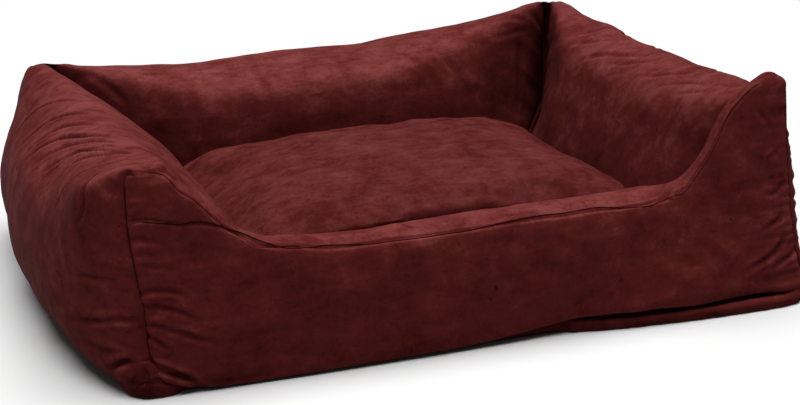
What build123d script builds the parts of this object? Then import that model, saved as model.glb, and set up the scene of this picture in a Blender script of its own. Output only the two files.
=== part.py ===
from build123d import *
import os

os.makedirs("parts", exist_ok=True)

# A box dog bed: three high stuffed bolsters and a low front one on a thin base pad,
# with a loose seat cushion. Millimetres, +Z up, front towards -Y, origin on the floor
# under the middle of the overall box.

# Overall sizes
overall_width = 900
overall_depth = 720
crest_height = 226
ear_height = 250
lip_height = 150

# Cloth, wadding and clearances
cloth = 2.6
clearance = 0.3
overrun = 40

# Base pad
base_width = 780
base_front_reach = 338
base_back_reach = 302
base_corner_radius = 30
base_wadding_thickness = 13.6
base_cloth = 2

# Side bolsters, measured outwards from the middle of the bed
side_foot_inner = 236
side_foot_outer = 378
foot_bulge = 26
side_belly_inner = 238
side_crest_out = 355
side_end_belly = 386
side_inner_draw = 24
outer_belly_height = 104
inner_belly_height = 108
crest_half_width = 44
crest_drop = 15
crest_rise = ear_height - crest_height

# Back bolster, measured backwards from the middle of the bed
back_foot_inner = 150
back_foot_outer = 292
back_belly_inner = 140
back_crest_out = 269
back_end_belly = 300

# Front panel and low front bolster
front_seam_reach = 340
neck_upper_out = 310
neck_upper_height = 206
neck_middle_out = 267
neck_middle_height = 165
neck_foot_out = 204
neck_foot_height = 146
front_crest_reach = 330
front_crest_half_width = 38
front_crest_drop = 18
front_belly_inner_reach = 252
front_foot_inner_reach = 262
front_belly_height = 85
facing_hem_height = 118
low_bolster_half_length = 262

# Seat cushion
cushion_width = 458
cushion_front_reach = 246
cushion_back_reach = 112
cushion_height = 172
cushion_seam_height = 90
cushion_draw_side = 8
cushion_draw_front = 6
cushion_corner_radius = 34
cushion_floor_inset = 58
cushion_shoulder_in = 62
cushion_rim_in = 18
cushion_skirt = 6
cushion_back_skirt = 18
inner_case_cloth = 1.2

# Zips
basket_zip_length = 420
cushion_zip_length = 260
tape_width = 6.6
tape_thickness = 0.8
coil_width = 4
coil_thickness = 1.6
slider_length = 10
slider_wall = 1.1
bail_wall = 1
bail_bar_radius = 0.7
bail_gap = 4.4
pull_eye_wall = 0.7
pull_length = 10
pull_width = 6
pull_thickness = 1.1
stop_length = 3

# Heights of the base pad's layers
bottom_cloth_top = base_cloth
wadding_bottom = bottom_cloth_top + clearance
wadding_top = wadding_bottom + base_wadding_thickness
top_cloth_bottom = wadding_top + clearance
top_cloth_top = top_cloth_bottom + base_cloth
foot_height = top_cloth_top + clearance

# Places that follow from the driving dimensions
half_width = overall_width / 2
half_depth = overall_depth / 2
side_bulge = half_width - side_end_belly
back_bulge = half_depth - back_end_belly
front_bulge = half_depth - front_seam_reach
mitre_offset = side_foot_inner - back_foot_inner
base_half_width = base_width / 2
base_middle = (base_back_reach - base_front_reach) / 2
base_depth = base_back_reach + base_front_reach
filling_inset = cloth + clearance

# Stations of the side bolsters from front to back: place along the length, outer bulge,
# inner draw, crest rise and crest width, each a share of its named size
side_station_shares = (
    (0.00, -0.16, 1.04, 1.00, 0.56),
    (0.03, 0.00, 1.00, 0.98, 0.56),
    (0.12, 0.45, 0.56, 0.50, 0.80),
    (0.28, 0.90, 0.06, 0.12, 1.00),
    (0.48, 1.00, 0.00, 0.00, 1.00),
    (0.68, 0.86, 0.06, 0.00, 1.00),
    (0.86, 0.44, 0.50, 0.16, 0.92),
    (1.00, -0.12, 1.25, 0.46, 0.72),
)
side_start = -half_depth
side_end = back_end_belly + overrun

# Stations of the back bolster from left to right, in the same order
back_station_shares = (
    (-1.00, -0.20, 1.25, 0.46, 0.72),
    (-0.78, 0.50, 0.70, 0.20, 0.92),
    (-0.48, 0.90, 0.06, -0.45, 1.00),
    (0.00, 1.00, 0.00, -0.73, 1.00),
    (0.48, 0.90, 0.06, -0.45, 1.00),
    (0.78, 0.50, 0.70, 0.20, 0.92),
    (1.00, -0.20, 1.25, 0.46, 0.72),
)
back_end = side_end_belly + overrun

# Small shares of the forms: how an inset moves a shoulder, how the front panel's curve runs
# out at its ends, and how the cushion's underside reaches the floor
shoulder_share = 0.7
edge_slope_share = 0.18
floor_full_share = 0.76
shoulder_rise_share = 0.80
rim_rise_share = 0.46
lower_belly_share = 0.62
lower_reach_share = 0.22

# Heights of the front panel's curve as shares of the ear height, with the bulge there
front_height_shares = (
    (0.00, 0.45),
    (0.16, 0.86),
    (0.38, 1.00),
    (0.70, 0.82),
    (1.10, 0.40),
)

# Stations of the low front bolster from left to right, with the share of the sag there
low_station_shares = (
    (-1.00, 1.00),
    (-0.50, 0.55),
    (0.00, 0.00),
    (0.50, 0.55),
    (1.00, 1.00),
)
low_end_sag = 5

# Stations of the cushion from left to right: place, fullness and share of the flat floor
cushion_station_shares = (
    (-1.00, 0.30, 0.30),
    (-0.92, 0.68, 0.68),
    (-0.74, 0.90, 0.92),
    (-0.40, 0.98, 1.00),
    (0.00, 1.00, 1.00),
    (0.40, 0.98, 1.00),
    (0.74, 0.90, 0.92),
    (0.92, 0.68, 0.68),
    (1.00, 0.30, 0.30),
)


def stuffed_section(
    plane,
    way,
    foot_inner,
    belly_inner,
    crest_out,
    crest_up,
    crest_share,
    belly_out,
    foot_outer,
    inset,
):
    """A bolster's section: flat foot, outer arc, crest arc and inner arc."""
    corner_inset = inset * shoulder_share
    reach = crest_half_width * crest_share
    shoulder_up = crest_up - crest_drop * crest_share - corner_inset
    inner_shoulder = (way * (crest_out - reach + corner_inset), shoulder_up)
    outer_shoulder = (way * (crest_out + reach - corner_inset), shoulder_up)
    inner_foot = (way * (foot_inner + inset), foot_height)
    outer_foot = (way * (foot_outer - inset), foot_height)
    with BuildSketch(plane) as section:
        with BuildLine():
            Line(inner_foot, outer_foot)
            ThreePointArc(outer_foot, (way * (belly_out - inset), outer_belly_height), outer_shoulder)
            ThreePointArc(outer_shoulder, (way * crest_out, crest_up - inset), inner_shoulder)
            ThreePointArc(inner_shoulder, (way * (belly_inner + inset), inner_belly_height), inner_foot)
        make_face()
    return section.sketch


def side_form(way, inset):
    """One side bolster, before its mitre and its front are cut; way is -1 on the left."""
    sections = []
    for along, bulge, draw, rise, width in side_station_shares:
        sections.append(
            stuffed_section(
                Plane.XZ.offset(-side_start - (side_end - side_start) * along),
                way,
                side_foot_inner,
                side_belly_inner + side_inner_draw * draw,
                side_crest_out,
                crest_height + crest_rise * rise,
                width,
                side_end_belly + side_bulge * bulge,
                side_foot_outer + foot_bulge * bulge,
                inset,
            )
        )
    with BuildPart() as form:
        loft(sections)
    return form.part


def back_form(inset):
    """The back bolster, before its mitres are cut."""
    sections = []
    for along, bulge, draw, rise, width in back_station_shares:
        sections.append(
            stuffed_section(
                Plane.YZ.offset(back_end * along),
                1,
                back_foot_inner,
                back_belly_inner + side_inner_draw * draw,
                back_crest_out,
                crest_height + crest_rise * rise,
                width,
                back_end_belly + back_bulge * bulge,
                back_foot_outer + foot_bulge * bulge,
                inset,
            )
        )
    with BuildPart() as form:
        loft(sections)
    return form.part


def front_sheet(ahead, behind):
    """A slab along the front panel's curve, from ahead of its outer face to behind it."""
    half = side_end_belly + overrun
    with BuildPart() as sheet:
        for height, bulge in front_height_shares:
            reach = front_seam_reach + front_bulge * bulge
            edge = front_seam_reach - front_bulge * bulge * edge_slope_share
            with BuildSketch(Plane.XY.offset(ear_height * height)):
                with BuildLine():
                    ThreePointArc((-half, -edge - ahead), (0, -reach - ahead), (half, -edge - ahead))
                    Line((half, -edge - ahead), (half, -edge + behind))
                    ThreePointArc((half, -edge + behind), (0, -reach + behind), (-half, -edge + behind))
                    Line((-half, -edge + behind), (-half, -edge - ahead))
                make_face()
        loft()
    return sheet.part


def low_form(inset):
    """The low front bolster, before its front and its ends are cut."""
    ahead = -half_depth - overrun
    with BuildPart() as form:
        for along, sag in low_station_shares:
            crest_up = lip_height - low_end_sag * sag - inset
            shoulder_up = crest_up - front_crest_drop
            front_shoulder = (-front_crest_reach - front_crest_half_width, shoulder_up)
            inner_reach = front_crest_reach - front_crest_half_width + inset * shoulder_share
            inner_shoulder = (-inner_reach, shoulder_up)
            inner_belly = (-front_belly_inner_reach - inset, front_belly_height)
            inner_foot = (-front_foot_inner_reach - inset, foot_height)
            with BuildSketch(Plane.YZ.offset(low_bolster_half_length * along)):
                with BuildLine():
                    Line((ahead, foot_height), front_shoulder)
                    ThreePointArc(front_shoulder, (-front_crest_reach, crest_up), inner_shoulder)
                    ThreePointArc(inner_shoulder, inner_belly, inner_foot)
                    Line(inner_foot, (ahead, foot_height))
                make_face()
        loft()
    return form.part


def cushion_form(inset):
    """The cushion's crowned body, a little longer and wider than its outline."""
    half_length = cushion_width / 2 + cushion_skirt - inset
    front = -cushion_front_reach - cushion_skirt + inset
    back = cushion_back_reach + cushion_back_skirt - inset
    middle = (front + back) / 2
    front_seam = (front, cushion_seam_height)
    back_seam = (back, cushion_seam_height)
    full_rise = cushion_height - cushion_seam_height
    full_drop = cushion_seam_height - foot_height + cushion_skirt / 2
    with BuildPart() as form:
        for along, fullness, floor in cushion_station_shares:
            rise = full_rise * fullness - inset
            top = cushion_seam_height + rise
            shoulder = cushion_seam_height + rise * shoulder_rise_share
            rim = cushion_seam_height + rise * rim_rise_share
            front_shoulder = (front + cushion_shoulder_in, shoulder)
            back_shoulder = (back - cushion_shoulder_in, shoulder)
            bottom = cushion_seam_height - full_drop * floor_depth(fullness) + inset
            floor_front = middle + (front + cushion_floor_inset - middle) * floor
            floor_back = middle + (back - cushion_floor_inset - middle) * floor
            belly = (cushion_seam_height - bottom) * lower_belly_share
            with BuildSketch(Plane.YZ.offset(half_length * along)):
                with BuildLine():
                    ThreePointArc(front_seam, (front + cushion_rim_in, rim), front_shoulder)
                    ThreePointArc(front_shoulder, (middle, top), back_shoulder)
                    ThreePointArc(back_shoulder, (back - cushion_rim_in, rim), back_seam)
                    ThreePointArc(
                        back_seam,
                        (back - (back - floor_back) * lower_reach_share, cushion_seam_height - belly),
                        (floor_back, bottom),
                    )
                    Line((floor_back, bottom), (floor_front, bottom))
                    ThreePointArc(
                        (floor_front, bottom),
                        (front + (floor_front - front) * lower_reach_share, cushion_seam_height - belly),
                        front_seam,
                    )
                make_face()
        loft()
    return form.part


def floor_depth(fullness):
    """The underside reaches the floor sooner than the crown reaches its full height."""
    return min(1, fullness / floor_full_share)


def cushion_outline(inset):
    """A tall prism of the cushion's outline: its back is straight for the zip, the rest drawn in."""
    half = cushion_width / 2 - inset
    front = -cushion_front_reach + inset
    back = cushion_back_reach - inset
    middle = (front + back) / 2
    with BuildPart() as outline:
        with BuildSketch(Plane.XY.offset(foot_height + inset)):
            with BuildLine():
                ThreePointArc((-half, front), (0, front + cushion_draw_front), (half, front))
                ThreePointArc((half, front), (half - cushion_draw_side, middle), (half, back))
                Line((half, back), (-half, back))
                ThreePointArc((-half, back), (-half + cushion_draw_side, middle), (-half, front))
            make_face()
        extrude(amount=cushion_height + overrun)
        corners = outline.edges().filter_by(Axis.Z).group_by(outer_corner)[-1]
        fillet(corners, cushion_corner_radius)
    return outline.part


def outer_corner(edge):
    """How far an upright edge stands from the cushion's middle line, for picking corners."""
    return round(abs(edge.center().X))


def cushion_body(inset):
    """The cushion's form within its outline."""
    body = cushion_form(inset)
    outline = cushion_outline(inset)
    with BuildPart() as cushion:
        add(body)
        add(outline, mode=Mode.INTERSECT)
    return cushion.part


# Cutting planes: the mitres at the back corners, half a clearance to each side
right_mitre = Plane(origin=(mitre_offset, 0, 0), x_dir=(1, 1, 0), z_dir=(1, -1, 0))
left_mitre = Plane(origin=(-mitre_offset, 0, 0), x_dir=(-1, 1, 0), z_dir=(-1, -1, 0))
mitres = {"left": left_mitre, "right": right_mitre}

# Base pad
with BuildPart() as base_bottom_cloth:
    with BuildSketch():
        with Locations((0, base_middle)):
            RectangleRounded(base_width, base_depth, base_corner_radius)
    extrude(amount=base_cloth)
base_bottom_cloth.part.label = "base_bottom_cloth"
export_step(base_bottom_cloth.part, "parts/base_bottom_cloth.step")

wadding_shrink = base_cloth + clearance
with BuildPart() as base_wadding:
    with BuildSketch(Plane.XY.offset(wadding_bottom)):
        with Locations((0, base_middle)):
            RectangleRounded(
                base_width - 2 * wadding_shrink,
                base_depth - 2 * wadding_shrink,
                base_corner_radius - wadding_shrink,
            )
    extrude(amount=base_wadding_thickness)
base_wadding.part.label = "base_wadding"
export_step(base_wadding.part, "parts/base_wadding.step")

with BuildPart() as base_top_cloth:
    with BuildSketch(Plane.XY.offset(top_cloth_bottom)):
        with Locations((0, base_middle)):
            RectangleRounded(base_width, base_depth, base_corner_radius)
    extrude(amount=base_cloth)
base_top_cloth.part.label = "base_top_cloth"
export_step(base_top_cloth.part, "parts/base_top_cloth.step")

# Edge strips of the base pad, between its rounded corners
strip_height = base_wadding_thickness
strip_middle_height = wadding_bottom + strip_height / 2
front_strip_length = base_width - 2 * base_corner_radius - 2 * clearance
side_strip_length = base_depth - 2 * base_corner_radius - 2 * clearance
basket_zip_half = basket_zip_length / 2 + clearance
back_strip_length = front_strip_length / 2 - basket_zip_half

with BuildPart() as base_front_strip:
    with Locations((0, -base_front_reach + base_cloth / 2, strip_middle_height)):
        Box(front_strip_length, base_cloth, strip_height)
base_front_strip.part.label = "base_front_strip"
export_step(base_front_strip.part, "parts/base_front_strip.step")

for side, way in (("left", -1), ("right", 1)):
    with BuildPart() as base_side_strip:
        with Locations((way * (base_half_width - base_cloth / 2), base_middle, strip_middle_height)):
            Box(base_cloth, side_strip_length, strip_height)
    base_side_strip.part.label = f"base_{side}_strip"
    export_step(base_side_strip.part, f"parts/base_{side}_strip.step")

    strip_centre = way * (basket_zip_half + back_strip_length / 2)
    with BuildPart() as base_back_strip:
        with Locations((strip_centre, base_back_reach - base_cloth / 2, strip_middle_height)):
            Box(back_strip_length, base_cloth, strip_height)
    base_back_strip.part.label = f"base_back_{side}_strip"
    export_step(base_back_strip.part, f"parts/base_back_{side}_strip.step")

    for end, facing, reach in (("front", -1, base_front_reach), ("back", 1, base_back_reach)):
        corner_x = way * (base_half_width - base_corner_radius)
        corner_y = facing * (reach - base_corner_radius)
        with BuildPart() as base_corner:
            with BuildSketch(Plane.XY.offset(wadding_bottom)):
                with Locations((corner_x, corner_y)):
                    Circle(base_corner_radius)
                    Circle(base_corner_radius - base_cloth, mode=Mode.SUBTRACT)
                with Locations(
                    (corner_x + way * base_corner_radius / 2, corner_y + facing * base_corner_radius / 2)
                ):
                    Rectangle(base_corner_radius, base_corner_radius, mode=Mode.INTERSECT)
            extrude(amount=strip_height)
        base_corner.part.label = f"base_corner_{end}_{side}"
        export_step(base_corner.part, f"parts/base_corner_{end}_{side}.step")

# Tool shapes shared by the bolsters: what lies ahead of each layer at the front
ahead_of_cloth = front_sheet(2 * overrun, cloth + clearance)
ahead_of_filling = front_sheet(2 * overrun, cloth + 2 * clearance)

# Side bolsters: stuffing, outer panel and inner panel
for side, way in (("left", -1), ("right", 1)):
    skin = side_form(way, 0)
    hollow = side_form(way, cloth)
    stuffing = side_form(way, filling_inset)
    mitre = mitres[side]

    with BuildPart() as side_filling:
        add(stuffing)
        add(ahead_of_filling, mode=Mode.SUBTRACT)
        split(bisect_by=mitre.offset(clearance), keep=Keep.TOP)
    side_filling.part.label = f"{side}_filling"
    export_step(side_filling.part, f"parts/{side}_filling.step")

    crest_plane = Plane(origin=(way * side_crest_out, 0, 0), x_dir=(0, way, 0), z_dir=(way, 0, 0))
    for panel, plane_way in (("outer", 1), ("inner", -1)):
        with BuildPart() as side_panel:
            add(skin)
            add(hollow, mode=Mode.SUBTRACT)
            add(ahead_of_cloth, mode=Mode.SUBTRACT)
            split(bisect_by=mitre.offset(clearance), keep=Keep.TOP)
            keep = Keep.TOP if panel == "outer" else Keep.BOTTOM
            split(bisect_by=crest_plane.offset(plane_way * clearance / 2), keep=keep)
        side_panel.part.label = f"{side}_{panel}_panel"
        export_step(side_panel.part, f"parts/{side}_{panel}_panel.step")

# Back bolster: stuffing, outer panel and inner panel
back_skin = back_form(0)
back_hollow = back_form(cloth)
back_stuffing = back_form(filling_inset)

with BuildPart() as back_filling:
    add(back_stuffing)
    split(bisect_by=right_mitre.offset(-clearance), keep=Keep.BOTTOM)
    split(bisect_by=left_mitre.offset(-clearance), keep=Keep.BOTTOM)
back_filling.part.label = "back_filling"
export_step(back_filling.part, "parts/back_filling.step")

back_crest_plane = Plane.XZ.offset(-back_crest_out)
for panel, plane_way in (("outer", -1), ("inner", 1)):
    with BuildPart() as back_panel:
        add(back_skin)
        add(back_hollow, mode=Mode.SUBTRACT)
        split(bisect_by=right_mitre.offset(-clearance), keep=Keep.BOTTOM)
        split(bisect_by=left_mitre.offset(-clearance), keep=Keep.BOTTOM)
        keep = Keep.BOTTOM if panel == "outer" else Keep.TOP
        split(bisect_by=back_crest_plane.offset(plane_way * clearance / 2), keep=keep)
    back_panel.part.label = f"back_{panel}_panel"
    export_step(back_panel.part, f"parts/back_{panel}_panel.step")

# Front panel: one U-shaped piece with an ear over the end of each side bolster
front_curve = front_sheet(0, cloth)
ear_reach = crest_half_width * side_station_shares[0][4]
ear_shoulder = ear_height - crest_drop * side_station_shares[0][4]
with BuildPart() as front_face_panel:
    with BuildSketch(Plane.XZ.offset(half_depth + overrun)):
        with BuildLine():
            Line((-side_foot_outer, foot_height), (side_foot_outer, foot_height))
            for way in (1, -1):
                outer_shoulder = (way * (side_crest_out + ear_reach), ear_shoulder)
                inner_shoulder = (way * (side_crest_out - ear_reach), ear_shoulder)
                neck_foot = (way * neck_foot_out, neck_foot_height)
                ThreePointArc(
                    (way * side_foot_outer, foot_height),
                    (way * side_end_belly, outer_belly_height),
                    outer_shoulder,
                )
                ThreePointArc(outer_shoulder, (way * side_crest_out, ear_height), inner_shoulder)
                Line(inner_shoulder, (way * neck_upper_out, neck_upper_height))
                ThreePointArc(
                    (way * neck_upper_out, neck_upper_height),
                    (way * neck_middle_out, neck_middle_height),
                    neck_foot,
                )
            lip_seam_height = lip_height - 3 * cloth
            ThreePointArc(
                (-neck_foot_out, neck_foot_height),
                (0, lip_seam_height),
                (neck_foot_out, neck_foot_height),
            )
        make_face()
    extrude(amount=-2 * overrun)
    add(front_curve, mode=Mode.INTERSECT)
front_face_panel.part.label = "front_face_panel"
export_step(front_face_panel.part, "parts/front_face_panel.step")

# Low front bolster, ended by the side bolsters
low_skin = low_form(0)
low_hollow = low_form(cloth)
low_stuffing = low_form(filling_inset)
side_stops = [side_form(way, -clearance) for way in (-1, 1)]

with BuildPart() as front_filling:
    add(low_stuffing)
    add(ahead_of_filling, mode=Mode.SUBTRACT)
    for side_stop in side_stops:
        add(side_stop, mode=Mode.SUBTRACT)
front_filling.part.label = "front_filling"
export_step(front_filling.part, "parts/front_filling.step")

hem_plane = Plane.XY.offset(facing_hem_height)
for name, plane_way, keep in (
    ("front_lip_facing", 1, Keep.TOP),
    ("front_inner_panel", -1, Keep.BOTTOM),
):
    with BuildPart() as low_panel:
        add(low_skin)
        add(low_hollow, mode=Mode.SUBTRACT)
        add(ahead_of_cloth, mode=Mode.SUBTRACT)
        for side_stop in side_stops:
            add(side_stop, mode=Mode.SUBTRACT)
        split(bisect_by=hem_plane.offset(plane_way * clearance / 2), keep=keep)
    low_panel.part.label = name
    export_step(low_panel.part, f"parts/{name}.step")

# Seat cushion: cover, inner case and stuffing
case_outer_inset = cloth + clearance
case_inner_inset = case_outer_inset + inner_case_cloth
cushion_skin = cushion_body(0)
cushion_hollow = cushion_body(cloth)
case_skin = cushion_body(case_outer_inset)
case_hollow = cushion_body(case_inner_inset)
cushion_stuffing = cushion_body(case_inner_inset + clearance)
zip_window_height = 2 * tape_width + clearance * 2 + coil_width / 2
seam_plane = Plane.XY.offset(cushion_seam_height)

for name, plane_way, keep in (
    ("cushion_top_panel", 1, Keep.TOP),
    ("cushion_bottom_panel", -1, Keep.BOTTOM),
):
    with BuildPart() as cover_panel:
        add(cushion_skin)
        add(cushion_hollow, mode=Mode.SUBTRACT)
        split(bisect_by=seam_plane.offset(plane_way * clearance / 2), keep=keep)
        with Locations((0, cushion_back_reach, cushion_seam_height)):
            Box(
                cushion_zip_length + 2 * clearance,
                2 * cloth + 2 * clearance,
                zip_window_height,
                mode=Mode.SUBTRACT,
            )
    cover_panel.part.label = name
    export_step(cover_panel.part, f"parts/{name}.step")

with BuildPart() as cushion_inner_case:
    add(case_skin)
    add(case_hollow, mode=Mode.SUBTRACT)
cushion_inner_case.part.label = "cushion_inner_case"
export_step(cushion_inner_case.part, "parts/cushion_inner_case.step")

with BuildPart() as cushion_filling:
    add(cushion_stuffing)
cushion_filling.part.label = "cushion_filling"
export_step(cushion_filling.part, "parts/cushion_filling.step")

# Zips: two tapes, the coil on their outer face, stops, slider and pull
for zip_name, zip_length, face, height in (
    ("basket_zip", basket_zip_length, base_back_reach, strip_middle_height),
    ("cushion_zip", cushion_zip_length, cushion_back_reach, cushion_seam_height),
):
    for tape_name, tape_way in (("upper", 1), ("lower", -1)):
        tape_height = height + tape_way * (clearance + tape_width) / 2
        with BuildPart() as zip_tape:
            with Locations((0, face - tape_thickness / 2, tape_height)):
                Box(zip_length, tape_thickness, tape_width)
        zip_tape.part.label = f"{zip_name}_{tape_name}_tape"
        export_step(zip_tape.part, f"parts/{zip_name}_{tape_name}_tape.step")

    coil_length = zip_length - 2 * stop_length - 2 * clearance
    with BuildPart() as zip_coil:
        with Locations((0, face + coil_thickness / 2, height)):
            Box(coil_length, coil_thickness, coil_width)
        fillet(zip_coil.edges().filter_by(Axis.X).group_by(Axis.Y)[-1], coil_thickness / 3)
    zip_coil.part.label = f"{zip_name}_coil"
    export_step(zip_coil.part, f"parts/{zip_name}_coil.step")

    stop_out = (zip_length - stop_length) / 2
    with BuildPart() as zip_stops:
        with Locations(
            (-stop_out, face + coil_thickness / 2, height),
            (stop_out, face + coil_thickness / 2, height),
        ):
            Box(stop_length, coil_thickness, coil_width)
    zip_stops.part.label = f"{zip_name}_stops"
    export_step(zip_stops.part, f"parts/{zip_name}_stops.step")

    slider_width = coil_width + 2 * clearance + 2 * slider_wall
    slider_depth = coil_thickness + slider_wall
    slider_centre = (coil_length - slider_length) / 2 - clearance
    plate_face = face + clearance + slider_depth
    bar_face = plate_face + clearance + bail_bar_radius + pull_eye_wall + clearance
    ear_offset = (bail_gap + bail_wall) / 2
    ear_length = 2 * bail_wall + 2 * bail_bar_radius
    ear_depth = bar_face - plate_face + 2 * bail_bar_radius
    with BuildPart() as zip_slider:
        with Locations((slider_centre, face + clearance + slider_depth / 2, height)):
            Box(slider_length, slider_depth, slider_width)
        fillet(zip_slider.edges().filter_by(Axis.Y), slider_wall)
        with Locations((slider_centre, face + (coil_thickness + clearance) / 2, height)):
            Box(
                slider_length,
                coil_thickness + clearance,
                coil_width + 2 * clearance,
                mode=Mode.SUBTRACT,
            )
        for ear_way in (-1, 1):
            ear_height_at = height + ear_way * ear_offset
            with Locations((slider_centre, (plate_face + bar_face) / 2, ear_height_at)):
                Box(ear_length, ear_depth, bail_wall)
        with Locations((slider_centre, bar_face, height)):
            Cylinder(bail_bar_radius, bail_gap + bail_wall)
    zip_slider.part.label = f"{zip_name}_slider"
    export_step(zip_slider.part, f"parts/{zip_name}_slider.step")

    eye_hole = bail_bar_radius + clearance / 3
    eye_radius = eye_hole + pull_eye_wall
    neck_width = bail_gap - 2 * clearance
    with BuildPart() as zip_pull:
        with BuildSketch(Plane.XZ.offset(-bar_face - pull_thickness / 2)):
            with Locations((slider_centre - pull_length / 2, height)):
                Rectangle(pull_length, neck_width)
            with Locations((slider_centre - pull_length, height)):
                SlotOverall(pull_width * 2, pull_width)
        extrude(amount=pull_thickness)
        with Locations((slider_centre, bar_face, height)):
            Cylinder(eye_radius, neck_width)
            Cylinder(eye_hole, neck_width, mode=Mode.SUBTRACT)
    zip_pull.part.label = f"{zip_name}_pull"
    export_step(zip_pull.part, f"parts/{zip_name}_pull.step")
    print(zip_name, "slider centre", slider_centre, "bar", bar_face, "height", height)
    print(zip_name, "travel", coil_length - slider_length - 2 * clearance)
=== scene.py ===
import math

import bpy
import numpy as np
from mathutils import Matrix, Vector
from mathutils.kdtree import KDTree


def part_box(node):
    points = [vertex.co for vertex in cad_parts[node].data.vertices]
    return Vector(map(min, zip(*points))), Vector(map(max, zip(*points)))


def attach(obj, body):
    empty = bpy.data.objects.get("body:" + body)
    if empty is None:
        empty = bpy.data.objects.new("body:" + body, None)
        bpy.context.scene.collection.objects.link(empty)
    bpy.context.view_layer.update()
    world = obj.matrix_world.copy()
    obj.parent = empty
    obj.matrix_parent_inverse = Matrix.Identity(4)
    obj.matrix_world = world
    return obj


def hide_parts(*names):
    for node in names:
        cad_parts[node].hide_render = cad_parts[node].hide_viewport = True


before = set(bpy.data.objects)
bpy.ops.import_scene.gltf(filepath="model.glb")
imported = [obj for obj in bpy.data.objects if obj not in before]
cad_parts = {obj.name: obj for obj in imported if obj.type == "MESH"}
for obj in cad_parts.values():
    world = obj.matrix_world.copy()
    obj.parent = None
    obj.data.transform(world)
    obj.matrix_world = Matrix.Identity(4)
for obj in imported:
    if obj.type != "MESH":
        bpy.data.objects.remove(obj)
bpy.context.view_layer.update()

# Lengths in the settings are millimetres in the frame's axes; every mesh is made in metres.
mm = 0.001


footTop = 18.7
basePad = dict(
    count=720,
    halfWidth=390,
    front=-338,
    back=302,
    corner=30,
    top=18.2,
    # how far the front edge pokes out, from left to right
    poke=(
        (-390, 14), (-345, 10), (-300, 0), (50, 4), (98, 13), (145, 23), (196, 29), (250, 34), (345, 35),
        (390, 22),
    ),
    # how strongly the strip under the front bolster is darkened with painted shade
    stripPaintedShade=2.0,
    ripple=0.45,
    rippleSize=26,
    # half length and depth of the recess that the zip sits in
    zipHalf=222,
    zipRecess=2.2,
    clothLow=0.35,
    # boxed corners that stand up beside the corner seams: across, along, rise, spread
    cornerRise=((-374, -341, 25, 21), (376, -346, 10, 22), (-372, 284, 9, 20), (372, 284, 9, 20)),
    # the seams that cross on the left front box: places, width, depth
    boxSeams=(
        (((-371, -360, 4), (-372, -358, 14), (-372, -355, 27), (-373, -348, 39)), 2.0, 1.5, "held"),
        (
            ((-396, -340, 18), (-386, -350, 19), (-372, -356, 20), (-356, -358, 19), (-344, -356, 16)),
            2.0, 1.3,
        ),
    ),
)


# Shared mesh code
def evenRun(line, count, toEnd):
    # count points at even distances along the line
    run = np.r_[0, np.cumsum(np.linalg.norm(np.diff(line, axis=0), axis=1))]
    want = np.linspace(0, run[-1], count, endpoint=toEnd)
    return np.stack([np.interp(want, run, line[:, k]) for k in range(line.shape[1])], 1)


def smoothLine(points, count, closed=False):
    # an even run of count points on a smooth curve through the given ones
    p = np.array(points, float)
    if closed:
        ext = np.vstack([p[-1], p, p[0], p[1]])
        spans = len(p)
    else:
        ext = np.vstack([2 * p[0] - p[1], p, 2 * p[-1] - p[-2]])
        spans = len(p) - 1
    t = np.linspace(0, 1, 16, endpoint=False)[:, None]
    runs = []
    for i in range(spans):
        a, b, c, d = ext[i : i + 4]
        square, cube = (2 * a - 5 * b + 4 * c - d) * t**2, (3 * b - a - 3 * c + d) * t**3
        runs.append(0.5 * (2 * b + (c - a) * t + square + cube))
    line = np.vstack(runs + [p[:1] if closed else p[-1:]])
    return evenRun(line, count, not closed)


def between(stations, values, at):
    # values given at a few stations, followed smoothly in between
    s, v, at = np.array(stations, float), np.array(values, float), np.array(at, float)
    slope = np.gradient(v, s, axis=0)
    i = np.clip(np.searchsorted(s, at, side="right") - 1, 0, len(s) - 2)
    shape = (-1,) + (1,) * (v.ndim - 1)
    h = (s[i + 1] - s[i]).reshape(shape)
    t = ((at - s[i]) / (s[i + 1] - s[i])).reshape(shape)
    return (
        (2 * t**3 - 3 * t**2 + 1) * v[i]
        + (t**3 - 2 * t**2 + t) * h * slope[i]
        + (3 * t**2 - 2 * t**3) * v[i + 1]
        + (t**3 - t**2) * h * slope[i + 1]
    )


def waves(points, size, seed, count=28):
    # soft random unevenness of about that size, from -1 to 1
    rng = np.random.default_rng(seed)
    total = np.zeros(points.shape[:-1])
    for _ in range(count):
        way = rng.normal(size=points.shape[-1])
        way *= 2 * np.pi / size * rng.uniform(0.6, 1.4) / np.linalg.norm(way)
        total += np.cos(points @ way + rng.uniform(0, 2 * np.pi))
    return total / math.sqrt(count)


def gridNormals(grid):
    around = np.roll(grid, -1, 1) - np.roll(grid, 1, 1)
    n = np.cross(np.gradient(grid, axis=0), around)
    n /= np.maximum(np.linalg.norm(n, axis=2, keepdims=True), 1e-9)
    middle = grid.mean(axis=1, keepdims=True)
    return n if ((grid - middle) * n).sum() > 0 else -n


def surfaceLine(grid, points, count):
    # a smooth line on the closed grid that passes the grid points nearest to the given places
    flat = grid.reshape(-1, 3)
    around = grid.shape[1]
    places = []
    for p in points:
        row, col = divmod(int(((flat - np.array(p)) ** 2).sum(1).argmin()), around)
        if places:
            col += around * round((places[-1][1] - col) / around)  # the short way round
        places.append((row, col))
    line = smoothLine(places, count)
    row = np.clip(line[:, 0], 0, grid.shape[0] - 1.001)
    i, j = row.astype(int), np.floor(line[:, 1]).astype(int)
    a, b = (row - i)[:, None], (line[:, 1] - j)[:, None]
    j, k = j % around, (j + 1) % around
    here = grid[i, j] * (1 - a) * (1 - b) + grid[i + 1, j] * a * (1 - b)
    return here + grid[i, k] * (1 - a) * b + grid[i + 1, k] * a * b


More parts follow.
